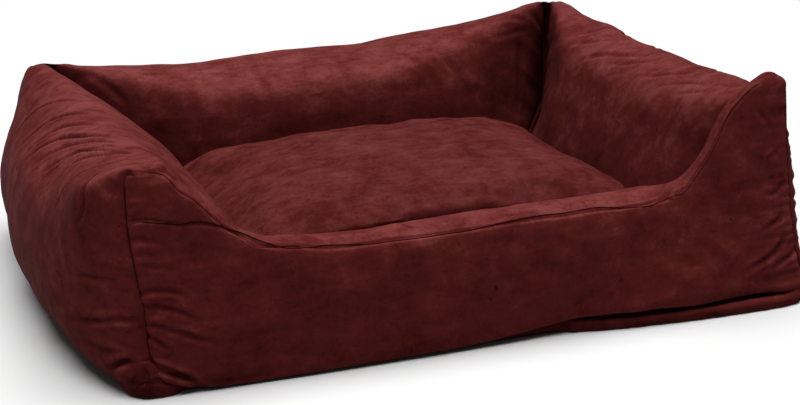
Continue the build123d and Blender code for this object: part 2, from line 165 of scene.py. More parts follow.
def creaseHeight(grid, creases):
    # each crease: places, width, depth, and "held" if it doesn't fade to both ends
    height = np.zeros(grid.shape[:2])
    for places, width, depth, *held in creases:
        rough = surfaceLine(grid, places, 60)
        length = np.linalg.norm(np.diff(rough, axis=0), axis=1).sum()
        count = max(40, int(2.5 * length / width))
        line = surfaceLine(grid, places, count)
        reach = 3.6 * width
        near = np.argwhere(((grid > line.min(0) - reach) & (grid < line.max(0) + reach)).all(2))
        tree = KDTree(count)
        for k, point in enumerate(line):
            tree.insert(point, k)
        tree.balance()
        found = [tree.find(grid[i, j])[1:] for i, j in near]
        if not found:
            continue
        nearest, away = np.array(found).T
        d, t = away / width, nearest / (count - 1)
        strength = 1 if held else np.sin(np.pi * np.clip(t, 0.02, 0.98)) ** 0.6
        bump = 0.42 * np.exp(-((d - 1.75) ** 2) * 1.6) - np.exp(-(d**2))
        height[near[:, 0], near[:, 1]] += depth * strength * bump
    return height


def dress(name, grid, creases, lumps, seed, hold):
    # stuffing lumps and creases along the normals; hold is 0 where nothing may move, 1 inside
    normals = gridNormals(grid)
    soft = sum(depth * waves(grid, size, seed + k) for k, (size, depth) in enumerate(lumps)) * hold
    folds = creaseHeight(grid, creases)
    print(name, "grid", grid.shape[:2], "creases", len(creases))
    return grid + normals * (soft + folds)[..., None], folds


def pucker(distance, along, size, depth, reach, seed):
    # little pulls of the cloth that stand square to a seam and die away from it
    n = waves(along[..., None], size, seed) + 0.5 * waves(along[..., None], size * 0.47, seed + 7)
    s = distance / reach
    return depth * np.clip(n, -1.6, 1.6) * np.exp(-2.2 * s) * (1 - np.exp(-((distance / 3.5) ** 2)))


def tuck(distance, depth):
    # the seam allowance: the last few millimetres turn in out of sight
    return depth * np.clip(1 - distance / 5, 0, 1)


def aboveBase(grid):
    # the cloth rests on the base pad and may hang lower beyond its edge
    x, y = grid[..., 0], grid[..., 1]
    inside = np.clip((basePad["halfWidth"] - 1 - np.abs(x)) / 6, 0, 1)
    inside *= np.clip((y - basePad["front"] - 1) / 6, 0, 1) * np.clip((basePad["back"] - 1 - y) / 6, 0, 1)
    grid[..., 2] = np.maximum(grid[..., 2], 3.0 + (footTop - 3.0) * inside)
    return grid


def intoScene(name, data):
    obj = bpy.data.objects.new(name, data)
    bpy.context.scene.collection.objects.link(obj)
    return obj


def plainMesh(obj):
    # the mesh that the object's modifiers make
    return bpy.data.meshes.new_from_object(obj.evaluated_get(bpy.context.evaluated_depsgraph_get()))


def vertexValues(mesh, name):
    values = np.zeros(len(mesh.vertices) * 3)
    mesh.vertices.foreach_get(name, values)
    return values.reshape(-1, 3)


def makeObject(name, verts, faces, smooth=True):
    mesh = bpy.data.meshes.new(name)
    mesh.from_pydata([tuple(v) for v in np.asarray(verts, float).tolist()], [], faces)
    mesh.validate()
    mesh.polygons.foreach_set("use_smooth", [smooth] * len(mesh.polygons))
    return intoScene(name, mesh)


def addAttribute(obj, name, values):
    layer = obj.data.attributes.new(name, "FLOAT", "POINT")
    layer.data.foreach_set("value", np.asarray(values, np.float32).ravel())


def paintTopLight(obj):
    # painted top light: how much each point faces up, which the suede turns into lighter tops and darker
    # sides
    addAttribute(obj, "paintedLightFacingUp", np.clip(vertexValues(obj.data, "normal")[:, 2], 0, 1))


def facedOut(verts, faces):
    # the closed shape's faces, turned round if they look in
    tri = np.array([(f[0], f[i], f[i + 1]) for f in faces for i in range(1, len(f) - 1)])
    a, b, c = verts[tri.T]
    return faces if (a * np.cross(b, c)).sum() > 0 else [f[::-1] for f in faces]


def closedTube(name, grid, folds):
    # a grid that closes on itself around, with its two ends capped to a middle point
    rows, cols = grid.shape[:2]
    verts = np.vstack([grid.reshape(-1, 3), grid[0].mean(0), grid[-1].mean(0)]) * mm
    faces = []
    for i in range(rows - 1):
        for j in range(cols):
            k = (j + 1) % cols
            faces.append((i * cols + j, i * cols + k, (i + 1) * cols + k, (i + 1) * cols + j))
    first, last = rows * cols, rows * cols + 1
    for j in range(cols):
        k = (j + 1) % cols
        faces.append((first, k, j))
        faces.append((last, (rows - 1) * cols + j, (rows - 1) * cols + k))
    obj = makeObject(name, verts, facedOut(verts, faces))
    # the crease heights, which the suede paints as shade in grooves and highlight on ridges
    addAttribute(obj, "fold", np.r_[folds.ravel(), 0, 0])
    paintTopLight(obj)
    return obj


# Materials
def newMaterial(name):
    mat = bpy.data.materials.new(name)
    mat.use_nodes = True
    return mat, mat.node_tree, mat.node_tree.nodes["Principled BSDF"]


def node(tree, kind, **values):
    made = tree.nodes.new(kind)
    for key, value in values.items():
        if key.startswith("in_"):
            made.inputs[key[3:].replace("_", " ")].default_value = value
        else:
            setattr(made, key, value)
    return made


def wire(tree, *joins):
    # each join: a node and its output, a node and its input
    for source, output, target, entry in joins:
        tree.links.new(source.outputs[output], target.inputs[entry])


def pattern(tree, kind, **values):
    # a texture that reads Object coordinates
    made = node(tree, kind, **values)
    wire(tree, (tree.nodes.new("ShaderNodeTexCoord"), "Object", made, "Vector"))
    return made


def noise(tree, scale, detail, roughness=0.5, distortion=0.0):
    values = dict(in_Scale=scale, in_Detail=detail, in_Roughness=roughness, in_Distortion=distortion)
    return pattern(tree, "ShaderNodeTexNoise", **values)


def colourMix(tree, low, high):
    return node(tree, "ShaderNodeMix", data_type="RGBA", in_A=low, in_B=high)


def relief(tree, source, skin, strength, distance):
    # bump on a material from one node's value
    bump = node(tree, "ShaderNodeBump", in_Strength=strength, in_Distance=distance)
    wire(tree, (source, 0, bump, "Height"), (bump, "Normal", skin, "Normal"))


def addSockets(tree, way, rows):
    # each row: a label and its kind
    for label, kind in rows:
        tree.interface.new_socket(label, in_out=way, socket_type=f"NodeSocket{kind}")


def ramp(tree, stops):
    made = tree.nodes.new("ShaderNodeValToRGB")
    while len(made.color_ramp.elements) < len(stops):
        made.color_ramp.elements.new(0.5)
    for element, (place, value) in zip(made.color_ramp.elements, stops):
        element.position = place
        element.color = (value, value, value, 1)
    return made


suedeSettings = dict(
    # how much the crease heights paint shade in grooves and highlight on ridges, how much facing up paints
    # light on tops and shade on sides, and how much light nap is smoother
    foldShadeShare=0.17,
    paintedLightMiddle=0.42,
    paintedLightShare=0.62,
    napRoughness=0.12,
    specular=0.03,
    sheen=0.012,
    sheenRoughness=0.42,
    sheenTint=(1.0, 0.36, 0.33, 1),
    # each cloth's inputs in order: shade, cloth, and light tone with painted highlight colours, mottling,
    # strokes, stroke scale, flecks, pile, roughness
    basket=(
        (0.026, 0.0026, 0.0025, 1), (0.078, 0.0106, 0.0099, 1), (0.175, 0.0420, 0.0390, 1),
        0.54, 0.44, (22.0, 46.0, 62.0), 1.50, 0.40, 0.86,
    ),
    cushion=(
        (0.018, 0.0018, 0.0018, 1), (0.056, 0.0072, 0.0068, 1), (0.112, 0.0240, 0.0225, 1),
        0.66, 0.50, (38.0, 74.0, 60.0), 1.50, 0.44, 0.86,
    ),
    # dark thread, which also paints the shadow in the seam grooves
    seam=(
        (0.006, 0.0010, 0.0010, 1), (0.017, 0.0026, 0.0025, 1), (0.034, 0.0062, 0.0060, 1),
        0.20, 0.30, (400.0, 400.0, 400.0), 0.30, 0.50, 0.9,
    ),
)


def suedeAndPaintedLightGroup():
    # napped suede: colour, roughness and normal from mottling, nap strokes and pile, with painted shade and
    # painted highlight from folds and from facing up
    tree = bpy.data.node_groups.new("suedeAndPaintedLight", "ShaderNodeTree")
    addSockets(tree, "INPUT", (
        ("Shade", "Color"), ("Cloth", "Color"), ("HighlightAndLightTone", "Color"), ("Mottling", "Float"),
        ("Strokes", "Float"), ("Stroke Scale", "Vector"), ("Flecks", "Float"), ("Pile", "Float"),
        ("Roughness", "Float"),
    ))
    addSockets(tree, "OUTPUT", (("Color", "Color"), ("Roughness", "Float"), ("Normal", "Vector")))
    links = tree.links
    given, out = tree.nodes.new("NodeGroupInput"), tree.nodes.new("NodeGroupOutput")
    broad = noise(tree, 12.0, 4.0, 0.55, 0.2)
    patch = noise(tree, 46.0, 7.0, 0.68, 0.5)
    pile = noise(tree, 1150.0, 2.0)
    fleck = noise(tree, 72.0, 7.0, 0.7, 0.9)
    tuft = noise(tree, 240.0, 4.0, 0.7)
    stretch = pattern(tree, "ShaderNodeMapping", vector_type="POINT")
    stroke = node(
        tree, "ShaderNodeTexNoise", in_Scale=1.0, in_Detail=7.0, in_Roughness=0.66, in_Distortion=0.25
    )
    wire(tree, (given, "Stroke Scale", stretch, "Scale"), (stretch, "Vector", stroke, "Vector"))

    def mathNode(kind, a, b, clamp=False):
        n = node(tree, "ShaderNodeMath", operation=kind, use_clamp=clamp)
        for k, x in enumerate((a, b)):
            if isinstance(x, (int, float)):
                n.inputs[k].default_value = x
            else:
                links.new(x, n.inputs[k])
        return n.outputs[0]

    def times(a, b, clamp=False):
        return mathNode("MULTIPLY", a, b, clamp)

    def plus(a, b):
        return mathNode("ADD", a, b)

    def centred(source, low, high):
        r = ramp(tree, ((low, 0.0), (high, 1.0)))
        wire(tree, (source, "Fac", r, "Fac"))
        return mathNode("SUBTRACT", r.outputs["Color"], 0.5)

    asked = given.outputs
    mottle = plus(times(centred(broad, 0.30, 0.70), 0.8), centred(patch, 0.30, 0.72))
    mottle = times(mottle, asked["Mottling"])
    strokes = times(centred(stroke, 0.36, 0.66), asked["Strokes"])
    grains = times(centred(tuft, 0.30, 0.70), times(asked["Pile"], 0.7))
    flecks = mathNode("MINIMUM", centred(fleck, 0.28, 0.50), 0.0)
    napAndPaintedLight = plus(plus(plus(mottle, strokes), grains), times(flecks, asked["Flecks"]))

    # painted light: grooves darker and ridges lighter by their fold height, tops lighter and sides darker by
    # how much they face up
    fold = node(tree, "ShaderNodeAttribute", attribute_name="fold")
    paintedLightFacingUp = node(tree, "ShaderNodeAttribute", attribute_name="paintedLightFacingUp")
    paintedTopLightAndSideShade = mathNode("SUBTRACT", paintedLightFacingUp.outputs["Fac"], suedeSettings["paintedLightMiddle"])
    paintedTopLightAndSideShade = times(paintedTopLightAndSideShade, suedeSettings["paintedLightShare"])
    napAndPaintedLight = plus(plus(napAndPaintedLight, times(fold.outputs["Fac"], suedeSettings["foldShadeShare"])), paintedTopLightAndSideShade)
    low = times(mathNode("MINIMUM", napAndPaintedLight, 0.0), -1.0, True)
    high = mathNode("MAXIMUM", napAndPaintedLight, 0.0, True)
    toShade = node(tree, "ShaderNodeMix", data_type="RGBA")
    toHighlightAndLightTone = node(tree, "ShaderNodeMix", data_type="RGBA")
    links.new(low, toShade.inputs["Factor"])
    links.new(high, toHighlightAndLightTone.inputs["Factor"])
    wire(
        tree, (given, "Cloth", toShade, "A"), (given, "Shade", toShade, "B"), (given, "HighlightAndLightTone", toHighlightAndLightTone, "B"),
        (toShade, "Result", toHighlightAndLightTone, "A"), (toHighlightAndLightTone, "Result", out, "Color"),
    )
    smoother = times(napAndPaintedLight, suedeSettings["napRoughness"])
    links.new(mathNode("SUBTRACT", asked["Roughness"], smoother), out.inputs["Roughness"])

    height = plus(times(pile.outputs["Fac"], asked["Pile"]), times(stroke.outputs["Fac"], 0.5))
    height = plus(height, times(tuft.outputs["Fac"], 0.5))
    bump = node(tree, "ShaderNodeBump", in_Strength=0.35, in_Distance=0.0012)
    links.new(height, bump.inputs["Height"])
    wire(tree, (bump, "Normal", out, "Normal"))
    return tree


suedeAndPaintedLight = suedeAndPaintedLightGroup()


def suede(name, cloth):
    mat, tree, skin = newMaterial(name)
    napAndPaintedLight = tree.nodes.new("ShaderNodeGroup")
    napAndPaintedLight.node_tree = suedeAndPaintedLight
    for entry, value in zip(napAndPaintedLight.inputs, suedeSettings[cloth]):
        entry.default_value = value
    wire(
        tree, (napAndPaintedLight, "Color", skin, "Base Color"), (napAndPaintedLight, "Roughness", skin, "Roughness"),
        (napAndPaintedLight, "Normal", skin, "Normal"),
    )
    skin.inputs["Specular IOR Level"].default_value = suedeSettings["specular"]
    skin.inputs["Sheen Weight"].default_value = suedeSettings["sheen"]
    skin.inputs["Sheen Roughness"].default_value = suedeSettings["sheenRoughness"]
    skin.inputs["Sheen Tint"].default_value = suedeSettings["sheenTint"]
    return mat


basketSuede = suede("burgundySuede", "basket")
cushionSuede = suede("cushionSuede", "cushion")
# the thread's dark colour also stands in for the shadow in the seam grooves
threadAndSeamShadow = suede("stitchThreadAndSeamShadow", "seam")
print("materials of the suede made")


# Bolsters
def upholster(name, grid, folds, fill, *nodes):
    # a padded piece in the basket's suede, in place of its CAD nodes
    piece = closedTube(name, aboveBase(grid), folds)
    piece.data.materials.append(basketSuede)
    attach(piece, "basket")
    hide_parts(*nodes)


def bolsterSection(row, innerFoot, innerDrop):
    # one section: foot, inner side, crest, outer shoulder, outer side and flat underside
    _, foot, low, belly, upper, shoulder, shoulderUp, crest, rise, half, innerUpper, innerBelly = row
    plainFoot, hangingFoot = 19.5, 14.0  # heights of the foot on the base pad and beyond its edge
    footHeight = hangingFoot if foot > basePad["halfWidth"] + 2 else plainFoot
    return [
        (innerFoot, footTop),
        ((innerFoot + innerBelly) / 2 - 6, 56),
        (innerBelly, 106),
        (innerUpper, 160),
        (crest - half, rise - innerDrop * half),
        (crest, rise),
        (shoulder, shoulderUp),
        (upper, 160),
        (belly, 104),
        (low, 52),
        (foot, footHeight),
        (foot - 26, footTop - (plainFoot - footHeight) * 0.3),
        ((foot + innerFoot) / 2 + 20, footTop),
        ((foot + innerFoot) / 2 - 40, footTop),
    ]


def bolsterLines(settings, rows):
    countAlong, countAround = settings["counts"]
    outlines = [bolsterSection(row, settings["innerFoot"], settings["innerDrop"]) for row in rows]
    even = np.linspace(0, 1, countAlong)
    at = 0.4 * even + 0.6 * (1 - np.cos(np.pi * even)) / 2  # closer together near both ends
    lines = between([row[0] for row in rows], outlines, at)
    return at, np.array([smoothLine(line, countAround, closed=True) for line in lines])


def pinch(distance, depth, reach):
    return depth * np.clip(1 - distance / reach, 0, 1) ** 2


def roundIt(grid):
    # how far round the section each point lies
    return np.cumsum(np.linalg.norm(np.diff(grid, axis=1, append=grid[:, :1]), axis=2), axis=1)


def offTheBase(up):
    # 0 on the flat underside, 1 well above it
    return np.clip((up - footTop - 1) / 14, 0, 1)


sideBolster = dict(
    counts=(216, 228),
    fill=0.75,
    seeds=dict(left=11, right=23),
    # size, depth and reach of the puckers
    seamPucker=(21, 1.5, 34),
    mitrePucker=(44, 1.2, 60),
    frontSeam=-346.0,
    mitre=86.6,
    innerFoot=236,
    innerDrop=0.34,
    seamPinch=1.2,
    seamPinchReach=8.0,
    mitrePinch=6.0,
    mitrePinchReach=21.0,
    # share along, foot, low, belly, upper, outer shoulder out and up, crest, rise, half width,
    # inner upper, inner belly
    left=(
        (0.000, 372, 372, 374, 380, 378, 236, 356, 241, 20, 302, 292),
        (0.014, 386, 390, 387, 391, 388, 231, 355, 241, 22, 298, 284),
        (0.040, 394, 404, 401, 404, 400, 223, 354, 239, 24, 290, 270),
        (0.075, 402, 416, 415, 416, 411, 215, 354, 236, 27, 283, 258),
        (0.140, 411, 430, 431, 429, 413, 207, 353, 230, 31, 266, 242),
        (0.300, 419, 443, 447, 432, 393, 205, 352, 222, 38, 262, 239),
        (0.500, 423, 445, 448, 434, 394, 201, 352, 219, 41, 260, 238),
        (0.700, 414, 435, 438, 422, 391, 202, 353, 218, 40, 262, 239),
        (0.860, 402, 421, 425, 410, 386, 203, 357, 220, 28, 280, 260),
        (0.945, 392, 408, 411, 399, 385, 207, 363, 222, 20, 314, 296),
        (1.000, 384, 395, 398, 391, 380, 212, 368, 224, 16, 336, 326),
    ),
    right=(
        (0.000, 385, 376, 370, 363, 353, 218, 334, 232, 14, 318, 310),
        (0.014, 390, 385, 378, 370, 357, 215, 335, 231, 18, 315, 304),
        (0.040, 396, 393, 385, 377, 363, 212, 337, 230, 21, 308, 292),
        (0.075, 402, 404, 395, 385, 368, 211, 341, 232, 26, 299, 278),
        (0.140, 410, 424, 420, 408, 382, 213, 348, 234, 46, 278, 256),
        (0.300, 414, 438, 446, 434, 393, 213, 353, 229, 55, 268, 246),
        (0.500, 418, 440, 447, 436, 397, 211, 354, 229, 57, 267, 246),
        (0.700, 411, 432, 440, 428, 396, 213, 356, 231, 55, 269, 247),
        (0.860, 402, 418, 421, 408, 386, 221, 358, 236, 46, 286, 265),
        (0.945, 392, 402, 403, 392, 380, 228, 358, 241, 24, 316, 298),
        (1.000, 384, 388, 388, 382, 378, 230, 356, 243, 14, 338, 328),
    ),
    lumps=((130, 1.1), (62, 0.5), (30, 0.2)),
    # folds that cross the crest: along at the outer side, along at the crest, width, depth
    crestFolds=dict(
        left=(
            (135, 60, 3.4, 1.6), (62, -16, 3.6, 2.2), (16, -68, 3.4, 2.0), (-5, -138, 3.8, 2.6),
            (-42, -176, 3.2, 1.8), (-76, -240, 3.2, 1.8), (-104, -196, 3.4, 2.4), (-150, -242, 3.4, 2.2),
            (-220, -300, 3.2, 2.2), (-290, -328, 2.8, 1.8),
        ),
        right=((150, 30, 4.0, 0.6), (40, -40, 4.0, 0.7), (-120, -190, 3.8, 0.8), (-200, -262, 3.4, 1.0)),
    ),
    # single creases: places on the cloth, width, depth, fade
    creases=dict(
        left=(
            (((-430, -255, 115), (-410, -330, 125), (-390, -340, 120)), 3.4, 1.8),
            (((-430, -255, 65), (-405, -330, 85), (-370, -340, 85)), 3.6, 2.6),
            (((-420, -285, 50), (-400, -325, 50), (-375, -340, 50)), 3.4, 1.8),
            (((-405, -305, 30), (-390, -335, 40), (-370, -340, 30)), 3.2, 2.0),
            (((-425, -250, 175), (-430, -265, 140), (-425, -280, 95)), 7.0, 0.6),
            (((-400, -315, 30), (-390, -330, 40), (-378, -342, 45)), 3.6, 4.0),
        ),
        right=(
            (((310, 105, 210), (325, 60, 230), (350, 55, 235)), 3.8, 1.8),
            (((300, 55, 200), (315, -5, 225), (335, -55, 235)), 4.0, 2.2),
            (((300, -15, 210), (315, -55, 225), (335, -85, 235)), 3.6, 1.8),
            (((305, -100, 210), (320, -135, 225), (335, -165, 235)), 3.8, 2.2),
            (((300, -145, 210), (315, -190, 225), (325, -230, 235)), 3.6, 1.8),
            (((300, -190, 205), (305, -215, 215), (315, -255, 230)), 3.4, 1.6),
            (((320, 115, 225), (335, 100, 235), (355, 105, 240)), 3.6, 1.4),
            (((360, -340, 205), (365, -335, 195), (365, -330, 180)), 3.0, 1.4),
            (((370, -340, 75), (370, -340, 80), (380, -335, 85)), 3.0, 1.8),
        ),
    ),
)


def crestFold(way, fold):
    # a fold that starts on the outer side, climbs over the shoulder and runs out on the crest
    outer, crest, width, depth = fold
    middle = outer + 0.42 * (crest - outer)
    lift = 8 if way > 0 else 0  # the right bolster stands higher
    out, up = (427, 402, 384, 349), (172, 196, 208, 222)
    along = (outer, (outer + middle) / 2, middle, crest)
    places = [(way * x, y, z + lift) for x, y, z in zip(out, along, up)]
    return places, 0.92 * width, 1.8 * depth


def makeSideBolster(side, way, settings):
    at, lines = bolsterLines(settings, settings[side])
    out, up = lines[..., 0], lines[..., 1]
    length = out - settings["mitre"] - settings["frontSeam"]
    grid = np.stack([way * out, settings["frontSeam"] + length * at[:, None], up], 2)
    toFront, toMitre = length * at[:, None], length * (1 - at[:, None])
    about = roundIt(grid)
    seed = settings["seeds"][side]
    shift = -pinch(toFront, settings["seamPinch"], settings["seamPinchReach"])
    shift -= pinch(toMitre, settings["mitrePinch"], settings["mitrePinchReach"])
    pulls = pucker(toFront, about, *settings["seamPucker"], seed) * np.clip(toFront / 9, 0, 1)
    shift += pulls + pucker(toMitre, about, *settings["mitrePucker"], seed + 3)
    grid = grid + gridNormals(grid) * (shift - tuck(toFront, 3) - tuck(toMitre, 2))[..., None]
    hold = offTheBase(up) * np.clip(toFront / 40, 0.15, 1) * np.clip(toMitre / 40, 0.15, 1)
    creases = [crestFold(way, fold) for fold in settings["crestFolds"][side]]
    creases += settings["creases"][side]
    grid, folds = dress(f"{side} bolster", grid, creases, settings["lumps"], seed, hold)
    nodes = [f"{side}_{part}" for part in ("outer_panel", "inner_panel", "filling")]
    # the seams' pinches and puckers also go into the painted shade and highlight
    upholster(f"{side}_bolster", grid, folds + 0.6 * shift, settings["fill"], *nodes)


makeSideBolster("left", -1, sideBolster)
makeSideBolster("right", 1, sideBolster)
print("side bolsters made")

backBolster = dict(
    counts=(240, 228),
    fill=0.7,
    seed=37,
    mitrePucker=(44, 1.0, 60),
    mitre=85.4,
    innerFoot=150,
    innerDrop=0.22,
    mitrePinch=6.0,
    mitrePinchReach=21.0,
    rows=(
        (0.00, 298, 309, 312, 305, 294, 213, 282, 224, 14, 250, 240),
        (0.04, 302, 318, 322, 312, 300, 205, 276, 217, 34, 212, 196),
        (0.10, 304, 326, 331, 322, 307, 197, 273, 210, 60, 180, 160),
        (0.26, 318, 342, 348, 338, 316, 189, 268, 206, 82, 160, 149),
        (0.50, 324, 352, 358, 345, 317, 187, 266, 208, 84, 157, 147),
        (0.74, 318, 342, 348, 338, 317, 199, 268, 217, 82, 160, 149),
        (0.90, 304, 324, 329, 322, 309, 214, 273, 231, 46, 192, 176),
        (0.96, 302, 312, 314, 308, 300, 226, 272, 239, 24, 228, 212),
        (1.00, 298, 302, 302, 296, 292, 230, 270, 243, 14, 258, 250),
    ),
    lumps=((150, 1.6), (70, 0.7), (32, 0.25)),
    creases=(
        (((-245, 230, 205), (-220, 235, 205), (-205, 225, 200)), 3.2, 1.8),
        (((230, 240, 220), (265, 240, 225), (300, 240, 225)), 3.6, 0.9),
        (((235, 220, 205), (270, 225, 210), (315, 240, 210)), 3.4, 0.8),
        (((105, 205, 190), (135, 175, 170), (150, 150, 140)), 6.0, 0.9),
        (((145, 205, 195), (180, 175, 170), (200, 165, 130)), 6.0, 0.8),
        (((-95, 240, 205), (-90, 195, 180), (-95, 160, 155)), 7.0, 1.2),
        (((-190, 225, 200), (-185, 195, 185), (-190, 165, 150)), 7.0, 1.1),
        (((290, 235, 210), (290, 220, 160), (275, 210, 105)), 6.0, 1.4),
        (((15, 240, 200), (20, 205, 185), (20, 165, 160)), 8.0, 1.2),
        (((-305, 245, 210), (-285, 230, 195), (-265, 210, 170)), 5.0, 1.4),
    ),
)


def makeBackBolster(settings):
    at, lines = bolsterLines(settings, settings["rows"])
    out, up = lines[..., 0], lines[..., 1]
    half = out + settings["mitre"]
    grid = np.stack([(2 * at[:, None] - 1) * half, out, up], 2)
    toMitre = np.minimum(at, 1 - at)[:, None] * 2 * half
    about = roundIt(grid) + 900 * (at[:, None] > 0.5)
    shift = pucker(toMitre, about, *settings["mitrePucker"], settings["seed"] + 4)
    shift -= pinch(toMitre, settings["mitrePinch"], settings["mitrePinchReach"])
    grid = grid + gridNormals(grid) * (shift - tuck(toMitre, 2))[..., None]
    hold = offTheBase(up) * np.clip(toMitre / 40, 0.15, 1)
    grid, folds = dress("back bolster", grid, settings["creases"], settings["lumps"], settings["seed"], hold)
    nodes = "back_outer_panel", "back_inner_panel", "back_filling"
    # the seams' pinches and puckers also go into the painted shade and highlight
    upholster("back_bolster", grid, folds + 0.6 * shift, settings["fill"], *nodes)


makeBackBolster(backBolster)
print("back bolster made")


# Front bolster with its ears
frontBolster = dict(
    counts=(332, 244),
    fill=0.7,
    seed=67,
    seamPucker=(24, 1.9, 44),
    # half the lip's length, and how long it takes to turn into the left and the right ear
    lipHalf=195,
    lipBlend=(60, 40),
    # width and depth of the lip's seam and of the seams inside the opening's edge
    lipGroove=(1.9, 1.4),
    edgeGroove=(1.7, 1.1),
    seamReach=344.5,
    bulge=17.0,
    edgePillow=1.6,
    edgePillowReach=9.0,
    # the corner seams, up and out, on each side
    leftSeam=((4, 364), (18, 366), (37, 368), (93, 371), (157, 380), (188, 382), (236, 382)),
    rightSeam=(
        (4, 386), (26, 384), (46, 378), (67, 375), (115, 370), (174, 363), (200, 361), (220, 359), (250, 360),
    ),
    # how low the cloth hangs along the foot of the panel, from left to right
    foot=(
        (-370, 17), (-335, 9), (-290, 4), (-100, 4), (-20, 6), (40, 11), (130, 19), (250, 19), (330, 17),
        (370, 15),
    ),
    # how far that low cloth leans out over the base pad's edge
    overhang=((-370, 0), (50, 0), (130, 8), (220, 15), (340, 16), (372, 8)),
    # the top line from the left ear along the lip to the right ear: across, up
    top=(
        (-382, 226), (-375, 236), (-359, 241), (-343, 239), (-335, 232), (-327, 222), (-309, 207),
        (-290, 186), (-265, 164), (-235, 149), (-203, 142), (-150, 139), (-100, 138), (0, 140), (120, 141),
        (190, 141), (216, 147), (240, 166), (256, 186), (267, 205), (283, 231), (302, 249), (320, 260),
        (336, 264), (350, 260), (360, 249),
    ),
    lumps=((130, 1.6), (60, 0.8), (28, 0.3)),
    creases=(
        (((-370, -340, 110), (-350, -350, 115), (-325, -355, 105)), 3.0, 1.8),
        (((-365, -340, 100), (-345, -350, 95), (-315, -355, 80)), 3.4, 2.4),
        (((-365, -345, 80), (-335, -350, 70), (-300, -355, 55)), 3.6, 2.6),
        (((-365, -340, 70), (-355, -345, 60), (-345, -350, 50)), 3.0, 2.2),
        (((-360, -340, 35), (-335, -350, 20), (-305, -345, 5)), 3.6, 2.4),
        (((-375, -340, 145), (-360, -345, 140), (-335, -350, 135)), 3.0, 1.0),
        (((-375, -335, 165), (-355, -345, 165), (-340, -350, 160)), 3.0, 0.9),
        (((-320, -350, 15), (-275, -350, 10), (-235, -350, 15)), 5.0, 1.6),
        (((-372, -345, 45), (-362, -350, 35), (-345, -352, 25), (-325, -352, 15)), 3.6, 4.0),
        (((315, -345, 10), (340, -350, 20), (365, -340, 30), (375, -340, 30)), 4.0, 3.8),
        (((305, -350, 45), (335, -350, 60), (355, -345, 75)), 3.6, 3.4),
        (((335, -350, 45), (355, -345, 50), (365, -340, 60)), 3.2, 3.2),
        (((325, -355, 90), (345, -345, 95), (350, -345, 105)), 3.4, 3.0),
        (((325, -350, 130), (340, -345, 130), (352, -340, 140)), 3.2, 2.6),
        (((330, -345, 160), (335, -345, 170), (346, -340, 175)), 3.2, 2.4),
        (((202, -352, 139), (210, -346, 147), (218, -338, 152)), 2.4, 2.2),
        (((-101, -310, 138), (-92, -322, 139), (-80, -336, 137)), 2.6, 2.0),
        (((320, -345, 225), (330, -345, 210), (335, -345, 200)), 3.0, 1.4),
        (((235, -355, 90), (270, -360, 60), (295, -355, 30)), 7.0, 0.9),
        (((-10, -355, 120), (30, -360, 65), (45, -350, 25)), 9.0, 0.8),
    ),
    # the seam that runs from the left corner below the opening's edge to the right one: across, up
    lipSeam=(
        (-379, 188), (-339, 183), (-311, 179), (-287, 172), (-257, 161), (-237, 150), (-206, 142),
        (-174, 138), (-99, 136), (13, 138), (129, 140), (189, 139), (212, 140),
    ),
    # the facing's edge seam runs this far inside the opening's edge, beyond these places on the lip
    edgeSeamIn=5.0,
    edgeSeamFrom=(-196, 214),
)


def edgeSeams(settings):
    # the two stretches of the seam just inside the opening's edge, at the left and the right ear
    top = np.array(settings["top"], float)
    slope = np.gradient(top, axis=0)
    down = np.column_stack([slope[:, 1], -slope[:, 0]]) / np.linalg.norm(slope, axis=1, keepdims=True)
    line = top + down * settings["edgeSeamIn"]
    left, right = settings["edgeSeamFrom"]
    return [[(x, -348, up) for x, up in line if low < x < high] for low, high in ((-362, left), (right, 336))]


def seamPlaces(settings):
    return [(x, -352, up) for x, up in settings["lipSeam"]]


